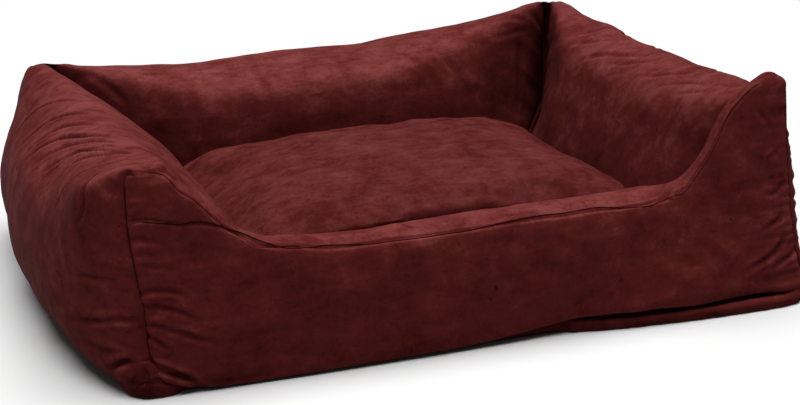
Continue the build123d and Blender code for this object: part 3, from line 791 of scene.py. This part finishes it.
def makeFrontBolster(settings):
    countAcross, countUp = settings["counts"]
    across, height = smoothLine(settings["top"], countAcross).T
    halfLeft, halfRight = -across[0], across[-1]
    blend = np.where(across < 0, *settings["lipBlend"])
    lip = np.clip(1 - (np.abs(across) - settings["lipHalf"]) / blend, 0, 1)
    lip = lip * lip * (3 - 2 * lip)
    fromEnd = np.minimum(across - across[0], across[-1] - across)
    full = (1 - np.exp(-fromEnd / 26)) * (1 - 0.30 * (across / 380) ** 2)
    rows = []
    footUp, over = (np.interp(across, *smoothLine(settings[key], 400).T) for key in ("foot", "overhang"))
    for h, w, b, low, lean in zip(height, lip, full, footUp, over):
        reach = -settings["seamReach"]
        ahead = settings["bulge"] * b
        lipLine = [
            (reach - 2 - 0.40 * ahead - lean, low), (reach - 0.85 * ahead - 0.6 * lean, 42),
            (reach - ahead, 82), (reach - 0.80 * ahead, 112), (reach - 0.45 * ahead, h - 8), (-336, h + 1),
            (-319, h + 1),
            (-301, h - 5), (-280, h - 25), (-260, 88), (-256, 56), (-264, footTop), (-290, footTop),
            (-320, footTop),
        ]
        earLine = [
            (reach - 2 - 0.35 * ahead - lean, low), (reach - 0.80 * ahead - 0.6 * lean, 46),
            (reach - 0.95 * ahead, 0.42 * h), (reach - 0.75 * ahead, 0.64 * h),
            (reach - 0.35 * ahead - 1, h - 16), (-342, h - 2.5), (-337, h), (-332, h - 3), (-328, h - 16),
            (-324, 0.60 * h), (-318, 52), (-318, footTop), (-324, footTop), (-332, footTop),
        ]
        mixed = [tuple(w * np.array(a) + (1 - w) * np.array(c)) for a, c in zip(lipLine, earLine)]
        rows.append(smoothLine(mixed, countUp, closed=True))
    rows = np.array(rows)
    depthwise, up = rows[..., 0], rows[..., 1]
    leftShift = -np.interp(up, *np.array(settings["leftSeam"], float).T) + halfLeft
    rightShift = np.interp(up, *np.array(settings["rightSeam"], float).T) - halfRight
    nearLeft = np.clip(1 - (across + halfLeft) / 150, 0, 1)[:, None] ** 2
    nearRight = np.clip(1 - (halfRight - across) / 150, 0, 1)[:, None] ** 2
    x = across[:, None] + leftShift * nearLeft + rightShift * nearRight
    grid = np.stack([x, depthwise, up], 2)
    toSeam = np.repeat(fromEnd[:, None], countUp, 1)
    face = np.clip((-depthwise - 322) / 10, 0, 1)
    shift = -pinch(toSeam, settings["edgePillow"], settings["edgePillowReach"]) * face
    side = 700.0 * (x > 0)
    pulls = pucker(toSeam, up + side, *settings["seamPucker"], settings["seed"] + 4)
    shift += pulls * face * np.clip(toSeam / 9, 0, 1)
    grid = grid + gridNormals(grid) * (shift - tuck(toSeam, 3) * face)[..., None]
    hold = np.clip(toSeam / 36, 0.1, 1) * np.clip((up - 8) / 14, 0, 1)
    creases = list(settings["creases"]) + [(seamPlaces(settings), *settings["lipGroove"], "held")]
    creases += [(places, *settings["edgeGroove"]) for places in edgeSeams(settings)]
    grid, folds = dress("front bolster", grid, creases, settings["lumps"], settings["seed"], hold)
    nodes = "front_face_panel", "front_lip_facing", "front_inner_panel", "front_filling"
    # the seams' pinches and puckers also go into the painted shade and highlight
    upholster("front_bolster", grid, folds + 0.6 * shift, settings["fill"], *nodes)
    return grid


frontGrid = makeFrontBolster(frontBolster)
print("front bolster made")


# Base pad
def roundedRectangle(size, count):
    corner = size["corner"]
    wide, near, far = size["halfWidth"] - corner, size["front"] + corner, size["back"] - corner
    line = []
    for start, cx, cy in ((0, wide, far), (90, -wide, far), (180, -wide, near), (270, wide, near)):
        for k in range(13):
            a = math.radians(start + 90 * k / 12)
            line.append((cx + corner * math.cos(a), cy + corner * math.sin(a)))
    line = np.array(line + [line[0]])
    return evenRun(line, count, False)


def makeBasePad(settings):
    front, back, top = settings["front"], settings["back"], settings["top"]
    outline = roundedRectangle(settings, settings["count"])
    middle = np.array([0, (front + back) / 2])
    # rings: how far in from the edge, and how high
    rings = [
        (320, 0.7), (240, 0.6), (160, 0.6), (90, 0.6), (40, 0.5), (16, 0.4), (6, 0.35), (2.4, 0.6),
        (0.8, 1.5), (-0.2, 3.2), (-1.0, 5.5), (-1.3, 9.1), (-1.0, 12.7), (-0.2, 15.0), (0.8, 16.8),
        (2.6, 17.9),
    ]
    rings += [(inset, top) for inset in (7, 18, 44, 90, 160, 240, 320)]
    fine = []
    for (inset, z), (nextInset, nextZ) in zip(rings, rings[1:]):
        steps = 3 if 1 < z < 17 else 1
        fine += [(inset + (nextInset - inset) * k / steps, z + (nextZ - z) * k / steps) for k in range(steps)]
    rings = fine + rings[-1:]
    size = np.array([settings["halfWidth"], (back - front) / 2])
    run = np.linspace(0, 2840, len(outline), endpoint=False)
    poke = np.interp(outline[:, 0], *smoothLine(settings["poke"], 300).T)
    poke *= np.clip((front + 60 - outline[:, 1]) / 50, 0, 1)
    loops = []
    for inset, z in rings:
        scale = (size - inset * np.minimum(1, size / size.min())) / size
        ring = middle + (outline - middle) * np.maximum(scale, 0.02)
        edge = math.exp(-((inset / 6) ** 2))
        ripple = settings["ripple"] * edge * waves(run[:, None], settings["rippleSize"], 91)
        ahead = (ring - middle) / np.linalg.norm(ring - middle, axis=1, keepdims=True)
        zipSide = (np.abs(ring[:, 0]) < settings["zipHalf"]) & (ring[:, 1] > back - 12)
        recess = -settings["zipRecess"] if 2 < z < 16.5 and inset < 3 else 0.0
        ripple = np.where(zipSide, recess, ripple)
        ring = ring + ahead * ripple[:, None]
        hold = math.exp(-((max(inset, 0) / 60) ** 2))
        ring[:, 1] -= poke * hold
        lower = np.clip(poke / 24, 0, 1) * np.clip((front + 6 - ring[:, 1]) / 12, 0, 1)
        height = z * (1 - 0.30 * lower)
        for x, y, rise, spread in settings["cornerRise"]:
            away = np.linalg.norm(ring - (x, y), axis=1) / spread
            height += rise * min(z / top, 1) * np.exp(-(away**4))
        loops.append(np.column_stack([ring, height]))
    grid = np.array(loops)
    folds = creaseHeight(grid, settings["boxSeams"])
    grid = grid + gridNormals(grid) * folds[..., None]
    grid[..., 2] = np.maximum(grid[..., 2], settings["clothLow"])
    # painted shade: the strip under the front bolster is darkened as if in the bolster's shadow
    flat = settings["stripPaintedShade"] * np.clip((front + 4 - grid[..., 1]) / 6, 0, 1)
    pad = closedTube("base_pad", grid, folds - flat)
    pad.data.materials.append(basketSuede)
    pad.data.materials.append(undersideCloth)
    low = [all(pad.data.vertices[v].co.z < 0.00075 for v in p.vertices) for p in pad.data.polygons]
    pad.data.polygons.foreach_set("material_index", [int(x) for x in low])
    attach(pad, "basket")
    nodes = ["base_bottom_cloth", "base_wadding", "base_top_cloth"]
    nodes += [f"base_{edge}_strip" for edge in ("front", "left", "right", "back_left", "back_right")]
    nodes += [f"base_corner_{end}_{side}" for end in ("front", "back") for side in ("left", "right")]
    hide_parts(*nodes)
    return grid


def antiSlipCloth():
    mat, tree, skin = newMaterial("antiSlipCloth")
    warp, weft = (pattern(tree, "ShaderNodeTexWave", bands_direction=way, in_Scale=260.0) for way in "XY")
    dust = noise(tree, 14.0, 5.0)
    weave = node(tree, "ShaderNodeMath", operation="MAXIMUM")
    blend = node(tree, "ShaderNodeMath", operation="MULTIPLY")
    mix = colourMix(tree, (0.014, 0.012, 0.012, 1), (0.040, 0.034, 0.034, 1))
    wire(
        tree, (warp, "Fac", weave, 0), (weft, "Fac", weave, 1), (weave, 0, blend, 0), (dust, "Fac", blend, 1),
        (blend, 0, mix, "Factor"), (mix, "Result", skin, "Base Color"),
    )
    relief(tree, weave, skin, 0.5, 0.0004)
    skin.inputs["Roughness"].default_value = 0.78
    return mat


undersideCloth = antiSlipCloth()
baseGrid = makeBasePad(basePad)
print("base pad made")


# Cushion
cushion = dict(
    # the seam's outline, and the wider one where the cushion presses against the bolsters
    seam=dict(halfWidth=228, front=-246, back=112, corner=44, drawIn=6, height=92),
    edge=dict(halfWidth=236, front=-250, back=134, corner=58, drawIn=3),
    # the height of that wider line at the right, back, left and front
    edgeHeight=(108, 112, 106, 124),
    crown=157,
    floor=19.2,
    voxel=0.0055,
    outlineCount=260,
    cloth=dict(
        quality=6,
        mass=0.3,
        tension_stiffness=18,
        compression_stiffness=18,
        bending_stiffness=0.35,
        use_pressure=True,
        uniform_pressure_force=2.5,
    ),
    frames=20,
    cap=2.6,
    lumps=((95, 1.7), (46, 1.0), (24, 0.35)),
    # the placket behind the zip: half length, front face, half height
    placket=(136, 110.6, 7.5),
)


def cushionOutline(line):
    outline = roundedRectangle(line, cushion["outlineCount"])
    middle = np.array([0, (line["front"] + line["back"]) / 2])
    half = np.array([line["halfWidth"], (line["back"] - line["front"]) / 2])
    share = (outline - middle) / half
    draw = line["drawIn"] * (1 - np.minimum(np.abs(share).min(1) / 0.8, 1) ** 1.5)
    return outline - share / np.linalg.norm(share, axis=1, keepdims=True) * draw[:, None]


def cushionShape(settings):
    # rings from the middle of the top out to the edge, down to the seam and back under to the middle
    seam, edge = cushionOutline(settings["seam"]), cushionOutline(settings["edge"])
    middle = edge.mean(0)
    around = np.arctan2(edge[:, 1] - middle[1], edge[:, 0] - middle[0])
    right, back, left, front = settings["edgeHeight"]
    across, along = np.cos(around) ** 2, np.sin(around) ** 2
    high = across * np.where(np.cos(around) > 0, right, left)
    high += along * np.where(np.sin(around) > 0, back, front)
    seamHeight = settings["seam"]["height"]
    loops = []
    for r in np.r_[np.linspace(0.03, 0.9, 30), np.linspace(0.92, 1, 8)]:
        z = high + (settings["crown"] - high) * (1 - r**2.3) ** 0.8
        loops.append(np.column_stack([middle + (edge - middle) * r, z]))
    for t in np.linspace(0.15, 1, 7):
        ring = seam + (edge - seam) * math.cos(t * math.pi / 2) ** 0.8
        loops.append(np.column_stack([ring, high + (seamHeight - high) * math.sin(t * math.pi / 2) ** 1.5]))
    for r in np.r_[np.linspace(0.99, 0.9, 7), np.linspace(0.88, 0.03, 24)]:
        z = seamHeight - (seamHeight - settings["floor"]) * (1 - r**5.0) ** 0.55
        loops.append(np.column_stack([middle + (seam - middle) * r, np.full(len(seam), z)]))
    return np.array(loops)


def makeCushion(settings):
    grid = cushionShape(settings)
    pad = closedTube("seat_cushion_pad", grid, np.zeros(grid.shape[:2]))
    bpy.context.view_layer.objects.active = pad
    shape = pad.modifiers.new("remesh", "REMESH")
    shape.mode = "VOXEL"
    shape.voxel_size = settings["voxel"]
    mesh = plainMesh(pad)
    pad.modifiers.clear()
    pad.data = mesh
    rest = moved = vertexValues(mesh, "co")
    cloth = pad.modifiers.new("cloth", "CLOTH")
    for key, value in settings["cloth"].items():
        setattr(cloth.settings, key, value)
    cloth.settings.effector_weights.gravity = 0
    cloth.collision_settings.use_collision = False
    cloth.collision_settings.use_self_collision = False
    cloth.point_cache.frame_start, cloth.point_cache.frame_end = 1, settings["frames"]
    scene = bpy.context.scene
    for step in range(1, settings["frames"] + 1):
        scene.frame_set(step)
    swollen = plainMesh(pad)
    moved = vertexValues(swollen, "co")
    bpy.data.meshes.remove(swollen)
    pad.modifiers.clear()
    scene.frame_set(1)
    travel = moved - rest
    size = np.linalg.norm(travel, axis=1, keepdims=True)
    cap = settings["cap"] * mm
    moved = rest + travel * np.minimum(1, cap / np.maximum(size, 1e-9))
    print("cushion vertices", len(rest), "most travel mm", round(float(size.max() / mm), 1))
    return pad, moved / mm


def finishCushion(pad, verts, settings):
    line = settings["seam"]
    middle = np.array([0, (line["front"] + line["back"]) / 2])
    half = np.array([line["halfWidth"], (line["back"] - line["front"]) / 2])
    up = verts[:, 2]
    spread = (verts[:, :2] - middle) / half
    out = np.linalg.norm(spread, axis=1)
    pad.data.vertices.foreach_set("co", (verts * mm).ravel())
    pad.data.update()
    normals = vertexValues(pad.data, "normal")
    lumps = sum(depth * waves(verts, size, 101 + k) for k, (size, depth) in enumerate(settings["lumps"]))
    away = np.abs(up - line["height"])
    rim = np.exp(-((away / 3.2) ** 2)) * (out > 0.6)
    angle = np.arctan2(spread[:, 1], spread[:, 0]) * 230
    pulls = pucker(away, angle, 26, 1.5, 30, 105) * (out > 0.6)
    verts = verts + normals * (lumps * np.clip(away / 30, 0.1, 1) - 2.4 * rim + pulls)[:, None]
    verts[:, 2] = np.maximum(verts[:, 2], settings["floor"])
    # the cloth stays behind the zip's tapes
    halfLong, face, halfHigh = settings["placket"]
    beyond = np.maximum(np.abs(verts[:, 0]) - halfLong, 0)
    beyond += 1.4 * np.maximum(np.abs(verts[:, 2] - line["height"]) - halfHigh, 0)
    verts[:, 1] = np.where(verts[:, 1] > 60, np.minimum(verts[:, 1], face + beyond), verts[:, 1])
    pad.data.vertices.foreach_set("co", (verts * mm).ravel())
    pad.data.update()
    # painted shade: the seam's groove is darkened, and the puckers are painted darker and lighter
    addAttribute(pad, "fold", pulls - 1.2 * rim)
    pad.data.polygons.foreach_set("use_smooth", [True] * len(pad.data.polygons))
    smoother = pad.modifiers.new("subdivision", "SUBSURF")
    smoother.levels = smoother.render_levels = 1
    mesh = plainMesh(pad)
    pad.modifiers.clear()
    pad.data = mesh
    pad.data.materials.clear()
    pad.data.materials.append(cushionSuede)
    paintTopLight(pad)
    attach(pad, "seat_cushion")
    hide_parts("cushion_top_panel", "cushion_bottom_panel", "cushion_inner_case", "cushion_filling")


cushionPad, cushionVerts = makeCushion(cushion)
finishCushion(cushionPad, cushionVerts, cushion)
print("cushion made")


# Zips: finishes on the CAD parts
def zipTape():
    mat, tree, skin = newMaterial("zipTape")
    rib = pattern(tree, "ShaderNodeTexWave", bands_direction="DIAGONAL", in_Scale=420.0, in_Distortion=0.6)
    mix = colourMix(tree, (0.030, 0.006, 0.007, 1), (0.075, 0.014, 0.015, 1))
    wire(tree, (rib, "Fac", mix, "Factor"), (mix, "Result", skin, "Base Color"))
    relief(tree, rib, skin, 0.6, 0.0003)
    skin.inputs["Roughness"].default_value = 0.72
    return mat


def nylonCoil():
    mat, tree, skin = newMaterial("nylonCoil")
    mottle = noise(tree, 300.0, 3.0)
    mix = colourMix(tree, (0.035, 0.007, 0.008, 1), (0.085, 0.017, 0.018, 1))
    wire(tree, (mottle, "Fac", mix, "Factor"), (mix, "Result", skin, "Base Color"))
    skin.inputs["Roughness"].default_value = 0.38
    return mat


def zipMetal():
    mat, tree, skin = newMaterial("darkNickel")
    scuff = noise(tree, 520.0, 5.0, 0.7)
    shade = ramp(tree, ((0.35, 0.20), (0.70, 0.42)))
    mix = colourMix(tree, (0.16, 0.15, 0.145, 1), (0.30, 0.285, 0.275, 1))
    wire(
        tree, (scuff, "Fac", shade, "Fac"), (shade, "Color", skin, "Roughness"),
        (scuff, "Fac", mix, "Factor"), (mix, "Result", skin, "Base Color"),
    )
    skin.inputs["Metallic"].default_value = 1.0
    return mat


def rubber():
    mat, tree, skin = newMaterial("dotRubber")
    worn = noise(tree, 90.0, 4.0)
    shade = ramp(tree, ((0.35, 0.45), (0.70, 0.70)))
    wire(tree, (worn, "Fac", shade, "Fac"), (shade, "Color", skin, "Roughness"))
    skin.inputs["Base Color"].default_value = (0.030, 0.028, 0.028, 1)
    return mat


# Stitches, zip teeth and dots, laid by geometry nodes
def newTree(name, *inputs):
    tree = bpy.data.node_groups.new(name, "GeometryNodeTree")
    addSockets(tree, "INPUT", (("Geometry", "Geometry"), ("Pitch", "Float"), *inputs, ("Finish", "Material")))
    addSockets(tree, "OUTPUT", (("Geometry", "Geometry"),))
    return tree, tree.nodes.new("NodeGroupInput"), tree.nodes.new("NodeGroupOutput")


def finishTree(tree, given, out, points, rotation, segments, rings, size):
    # scaled balls on the points, as every tree ends: real geometry, smooth, with its material
    ball = node(tree, "GeometryNodeMeshUVSphere", in_Segments=segments, in_Rings=rings, in_Radius=1.0)
    shape = tree.nodes.new("GeometryNodeTransform")
    place = tree.nodes.new("GeometryNodeInstanceOnPoints")
    real = tree.nodes.new("GeometryNodeRealizeInstances")
    smooth = tree.nodes.new("GeometryNodeSetShadeSmooth")
    finish = tree.nodes.new("GeometryNodeSetMaterial")
    wire(
        tree, (*points, place, "Points"), (ball, "Mesh", shape, "Geometry"), (given, size, shape, "Scale"),
        (shape, 0, place, "Instance"), (place, 0, real, 0), (real, 0, smooth, 0), (smooth, 0, finish, 0),
        (given, "Finish", finish, "Material"), (finish, 0, out, 0),
    )
    if rotation:
        wire(tree, (*rotation, place, "Rotation"))


def beadTree():
    # long beads along a curve: stitches on a seam, or the turns of a zip's coil across its line
    tree, given, out = newTree("beadsAlongLine", ("Bead Size", "Vector"))
    evenly = node(tree, "GeometryNodeResampleCurve", mode="LENGTH")
    tangent = tree.nodes.new("GeometryNodeInputTangent")
    turn = node(tree, "FunctionNodeAlignRotationToVector", axis="Z")
    wire(
        tree, (given, "Geometry", evenly, "Curve"), (given, "Pitch", evenly, "Length"),
        (tangent, "Tangent", turn, "Vector"),
    )
    finishTree(tree, given, out, (evenly, "Curve"), (turn, "Rotation"), 6, 4, "Bead Size")
    return tree


def dotTree():
    # rubber dots in diagonal rows, inside a rectangle
    rectangle = (("Half Size", "Vector"), ("Middle", "Vector"), ("Dot Size", "Vector"))
    tree, given, out = newTree("dotsInRows", *rectangle)
    side = 1.05  # of the square sheet that the rows are trimmed from
    across = node(tree, "ShaderNodeMath", operation="DIVIDE")
    across.inputs[0].default_value = side
    sheet = node(tree, "GeometryNodeMeshGrid", in_Size_X=side, in_Size_Y=side)
    turned = node(tree, "GeometryNodeTransform", in_Rotation=(0, 0, math.pi / 4))
    position = tree.nodes.new("GeometryNodeInputPosition")
    size = node(tree, "ShaderNodeVectorMath", operation="ABSOLUTE")
    beyond = node(tree, "ShaderNodeVectorMath", operation="SUBTRACT")
    parts = tree.nodes.new("ShaderNodeSeparateXYZ")
    most = node(tree, "ShaderNodeMath", operation="MAXIMUM")
    outside = node(tree, "FunctionNodeCompare", data_type="FLOAT", operation="GREATER_THAN")
    trim = node(tree, "GeometryNodeDeleteGeometry", domain="POINT")
    move = tree.nodes.new("GeometryNodeTransform")
    wire(
        tree, (given, "Pitch", across, 1), (across, 0, sheet, "Vertices X"), (across, 0, sheet, "Vertices Y"),
        (sheet, "Mesh", turned, "Geometry"), (position, "Position", size, 0), (size, "Vector", beyond, 0),
        (given, "Half Size", beyond, 1), (beyond, "Vector", parts, "Vector"), (parts, "X", most, 0),
        (parts, "Y", most, 1), (most, 0, outside, "A"), (turned, "Geometry", trim, "Geometry"),
        (outside, "Result", trim, "Selection"), (trim, "Geometry", move, "Geometry"),
        (given, "Middle", move, "Translation"),
    )
    finishTree(tree, given, out, (move, "Geometry"), None, 8, 3, "Dot Size")
    return tree


def linesCurve(name, lines):
    # curve data with one plain spline for each line, which is given in millimetres
    curve = bpy.data.curves.new(name, "CURVE")
    curve.dimensions = "3D"
    for line in lines:
        spline = curve.splines.new("POLY")
        spline.points.add(len(line) - 1)
        for point, place in zip(spline.points, np.asarray(line) * mm):
            point.co = (*place, 1)
    return curve


def grow(name, base, tree, values, body):
    # run a tree on its base, keep the plain mesh and let the modifier go
    source = intoScene(name + "Source", base)
    modifier = source.modifiers.new("grow", "NODES")
    modifier.node_group = tree
    for item in tree.interface.items_tree:
        if item.in_out == "INPUT" and item.name in values:
            modifier[item.identifier] = values[item.name]
    mesh = plainMesh(source)
    bpy.data.objects.remove(source)
    piece = intoScene(name, mesh)
    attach(piece, body)
    print(name, "faces", len(mesh.polygons))


stitches = dict(pitch=0.0042, size=(0.00042, 0.00042, 0.0015))
beads, dots = beadTree(), dotTree()


def gridEdge(grid, row, low, high):
    # the line up the front of one end of the front bolster
    ring = grid[row]
    front = ring[(ring[:, 1] < -330) & (ring[:, 2] > low) & (ring[:, 2] < high)]
    return front[front[:, 2].argsort()]


def makeStitches():
    lipSeam = surfaceLine(frontGrid, seamPlaces(frontBolster), 420)
    lines = [lipSeam + (0, -0.2, 0), gridEdge(frontGrid, 2, 24, 226), gridEdge(frontGrid, -3, 24, 240)]
    values = {"Pitch": stitches["pitch"], "Bead Size": stitches["size"], "Finish": threadAndSeamShadow}
    grow("basket_stitches", linesCurve("basketSeams", lines), beads, values, "basket")
    seam = cushionOutline(cushion["seam"])
    ring = np.column_stack([seam, np.full(len(seam), cushion["seam"]["height"])])
    curve = linesCurve("cushionSeam", [ring])
    grow("cushion_stitches", curve, beads, values, "seat_cushion")


makeStitches()
print("stitches laid")

# the closed seams show as dark cords sunk in their grooves, painted shadow of the grooves: radius of the cord
seamShadowCord = dict(plain=0.62, edge=0.42, sides=6)


def makeCords(name, cords, body):
    # each cord: its line and its radius; both ends run out to a point
    sides = seamShadowCord["sides"]
    verts, faces = [], []
    turn = np.linspace(0, 2 * np.pi, sides, endpoint=False)
    for line, radius in cords:
        line = np.asarray(line)
        ahead = np.gradient(line, axis=0)
        ahead /= np.linalg.norm(ahead, axis=1, keepdims=True)
        side = np.cross(ahead, (0.3, 0.1, 0.95))
        side /= np.linalg.norm(side, axis=1, keepdims=True)
        over = np.cross(side, ahead)
        count = np.arange(len(line))
        thick = radius * np.clip(np.minimum(count, count[::-1]) / 8, 0.05, 1)
        first = len(verts)
        for place, s, o, r in zip(line, side, over, thick):
            verts.extend(place + r * (math.cos(a) * s + math.sin(a) * o) for a in turn)
        verts.extend([line[0], line[-1]])
        last = len(verts) - 1
        for i in range(len(line) - 1):
            for j in range(sides):
                a, b = first + i * sides + j, first + i * sides + (j + 1) % sides
                faces.append((a, a + sides, b + sides, b))
        for j in range(sides):
            k = (j + 1) % sides
            faces.append((last - 1, first + j, first + k))
            faces.append((last, last - 1 - sides + k, last - 1 - sides + j))
    verts = np.array(verts) * mm
    piece = makeObject(name, verts, facedOut(verts, faces))
    piece.data.materials.append(threadAndSeamShadow)
    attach(piece, body)
    print(name, "faces", len(faces))


def makeSeamShadowCords():
    # painted shadow: dark cords along the lip, corner, edge and base box seams
    plain, edge = seamShadowCord["plain"], seamShadowCord["edge"]
    lip = surfaceLine(frontGrid, seamPlaces(frontBolster), 600)
    corners = [smoothLine(gridEdge(frontGrid, row, 20, top)[::11], 260) for row, top in ((2, 234), (-3, 248))]
    cords = [(lip, plain)] + [(line + (0, -0.4, 0), plain) for line in corners]
    cords += [(surfaceLine(frontGrid, places, 260), edge) for places in edgeSeams(frontBolster)]
    cords += [(surfaceLine(baseGrid, crease[0], 60), edge) for crease in basePad["boxSeams"]]
    makeCords("basket_seam_shadow_cords", cords, "basket")


makeSeamShadowCords()

zipTeeth = dict(pitch=0.0013, size=(0.0017, 0.0004, 0.00042))


def makeZipTeeth(name, body):
    # the turns of the nylon coil stand across its line, a hair proud of the CAD coil
    low, high = (np.array(corner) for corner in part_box(f"{name}_coil"))
    middle = (low + high) / 2
    line = [np.array([x, high[1], middle[2]]) / mm for x in np.linspace(low[0], high[0], 40)]
    values = {"Pitch": zipTeeth["pitch"], "Bead Size": zipTeeth["size"], "Finish": coilFinish}
    grow(f"{name}_teeth", linesCurve(f"{name}Line", [line]), beads, values, body)


antiSlipDots = dict(
    pitch=0.016,
    half=(0.345, 0.275, 1.0),
    middle=(0.0, -0.018, 0.00042),
    size=(0.0021, 0.0021, 0.00032),
)


def makeDots(settings):
    values = {
        "Pitch": settings["pitch"], "Half Size": settings["half"], "Middle": settings["middle"],
        "Dot Size": settings["size"], "Finish": rubber(),
    }
    base = bpy.data.meshes.new("dotsBase")
    grow("anti_slip_dots", base, dots, values, "basket")


makeDots(antiSlipDots)
coilFinish = nylonCoil()
makeZipTeeth("basket_zip", "basket")
makeZipTeeth("cushion_zip", "seat_cushion")
print("zip teeth laid")


finishes = (
    (zipTape(), ("upper_tape", "lower_tape")),
    (coilFinish, ("coil",)),
    (zipMetal(), ("stops", "slider", "pull")),
)
for zipName in ("basket_zip", "cushion_zip"):
    for finish, zipParts in finishes:
        for part in zipParts:
            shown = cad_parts[f"{zipName}_{part}"]
            shown.data.materials.clear()
            shown.data.materials.append(finish)
print("zip finishes set")


# Floor, light and camera
studio = dict(
    floorColour=(0.58, 0.58, 0.58, 1),
    floorHalf=14.0,
    skyStrength=5.2,
    skySpread=58.0,
    skyLean=(2.0, 3.0),
    worldStrength=0.10,
)


def makeStudio(settings):
    size = settings["floorHalf"]
    corners = [(size * x, size * y, 0) for x, y in ((-1, -1), (1, -1), (1, 1), (-1, 1))]
    floor = makeObject("floor", corners, [(0, 1, 2, 3)], False)
    mat, _, skin = newMaterial("paleFloor")
    skin.inputs["Base Color"].default_value = settings["floorColour"]
    skin.inputs["Roughness"].default_value = 0.9
    floor.data.materials.append(mat)
    world = bpy.data.worlds.new("studio")
    world.use_nodes = True
    sky = world.node_tree.nodes["Background"].inputs
    sky["Color"].default_value = (1, 1, 1, 1)
    sky["Strength"].default_value = settings["worldStrength"]
    bpy.context.scene.world = world
    # one broad soft light from overhead, even over the whole floor
    light = bpy.data.lights.new("overheadLight", "SUN")
    light.energy = settings["skyStrength"]
    light.angle = math.radians(settings["skySpread"])
    lamp = intoScene("overheadLight", light)
    lamp.rotation_euler = [math.radians(a) for a in settings["skyLean"]] + [0]
    lamp.location = (0, 0, 3)


cameraFit = dict(
    place=(-684.0, -2003.8, 699.2),
    azimuth=19.5,
    tilt=16.7,
    roll=-1.6,
    focal=80.6,
)


def makeCamera(settings):
    a, t, r = (math.radians(settings[k]) for k in ("azimuth", "tilt", "roll"))
    ahead = Vector((math.sin(a) * math.cos(t), math.cos(a) * math.cos(t), -math.sin(t)))
    right = Vector((math.cos(a), -math.sin(a), 0))
    above = right.cross(ahead)
    turnedRight = math.cos(r) * right + math.sin(r) * above
    turnedUp = -math.sin(r) * right + math.cos(r) * above
    data = bpy.data.cameras.new("camera")
    data.lens = settings["focal"]
    data.sensor_width = 36
    data.clip_start, data.clip_end = 0.05, 60
    camera = intoScene("camera", data)
    turn = Matrix((turnedRight, turnedUp, -ahead)).transposed().to_4x4()
    camera.matrix_world = Matrix.Translation(Vector(settings["place"]) * mm) @ turn
    bpy.context.scene.camera = camera


makeStudio(studio)
makeCamera(cameraFit)
bpy.context.scene.view_settings.view_transform = "Standard"
print("studio made")

bpy.context.view_layer.update()
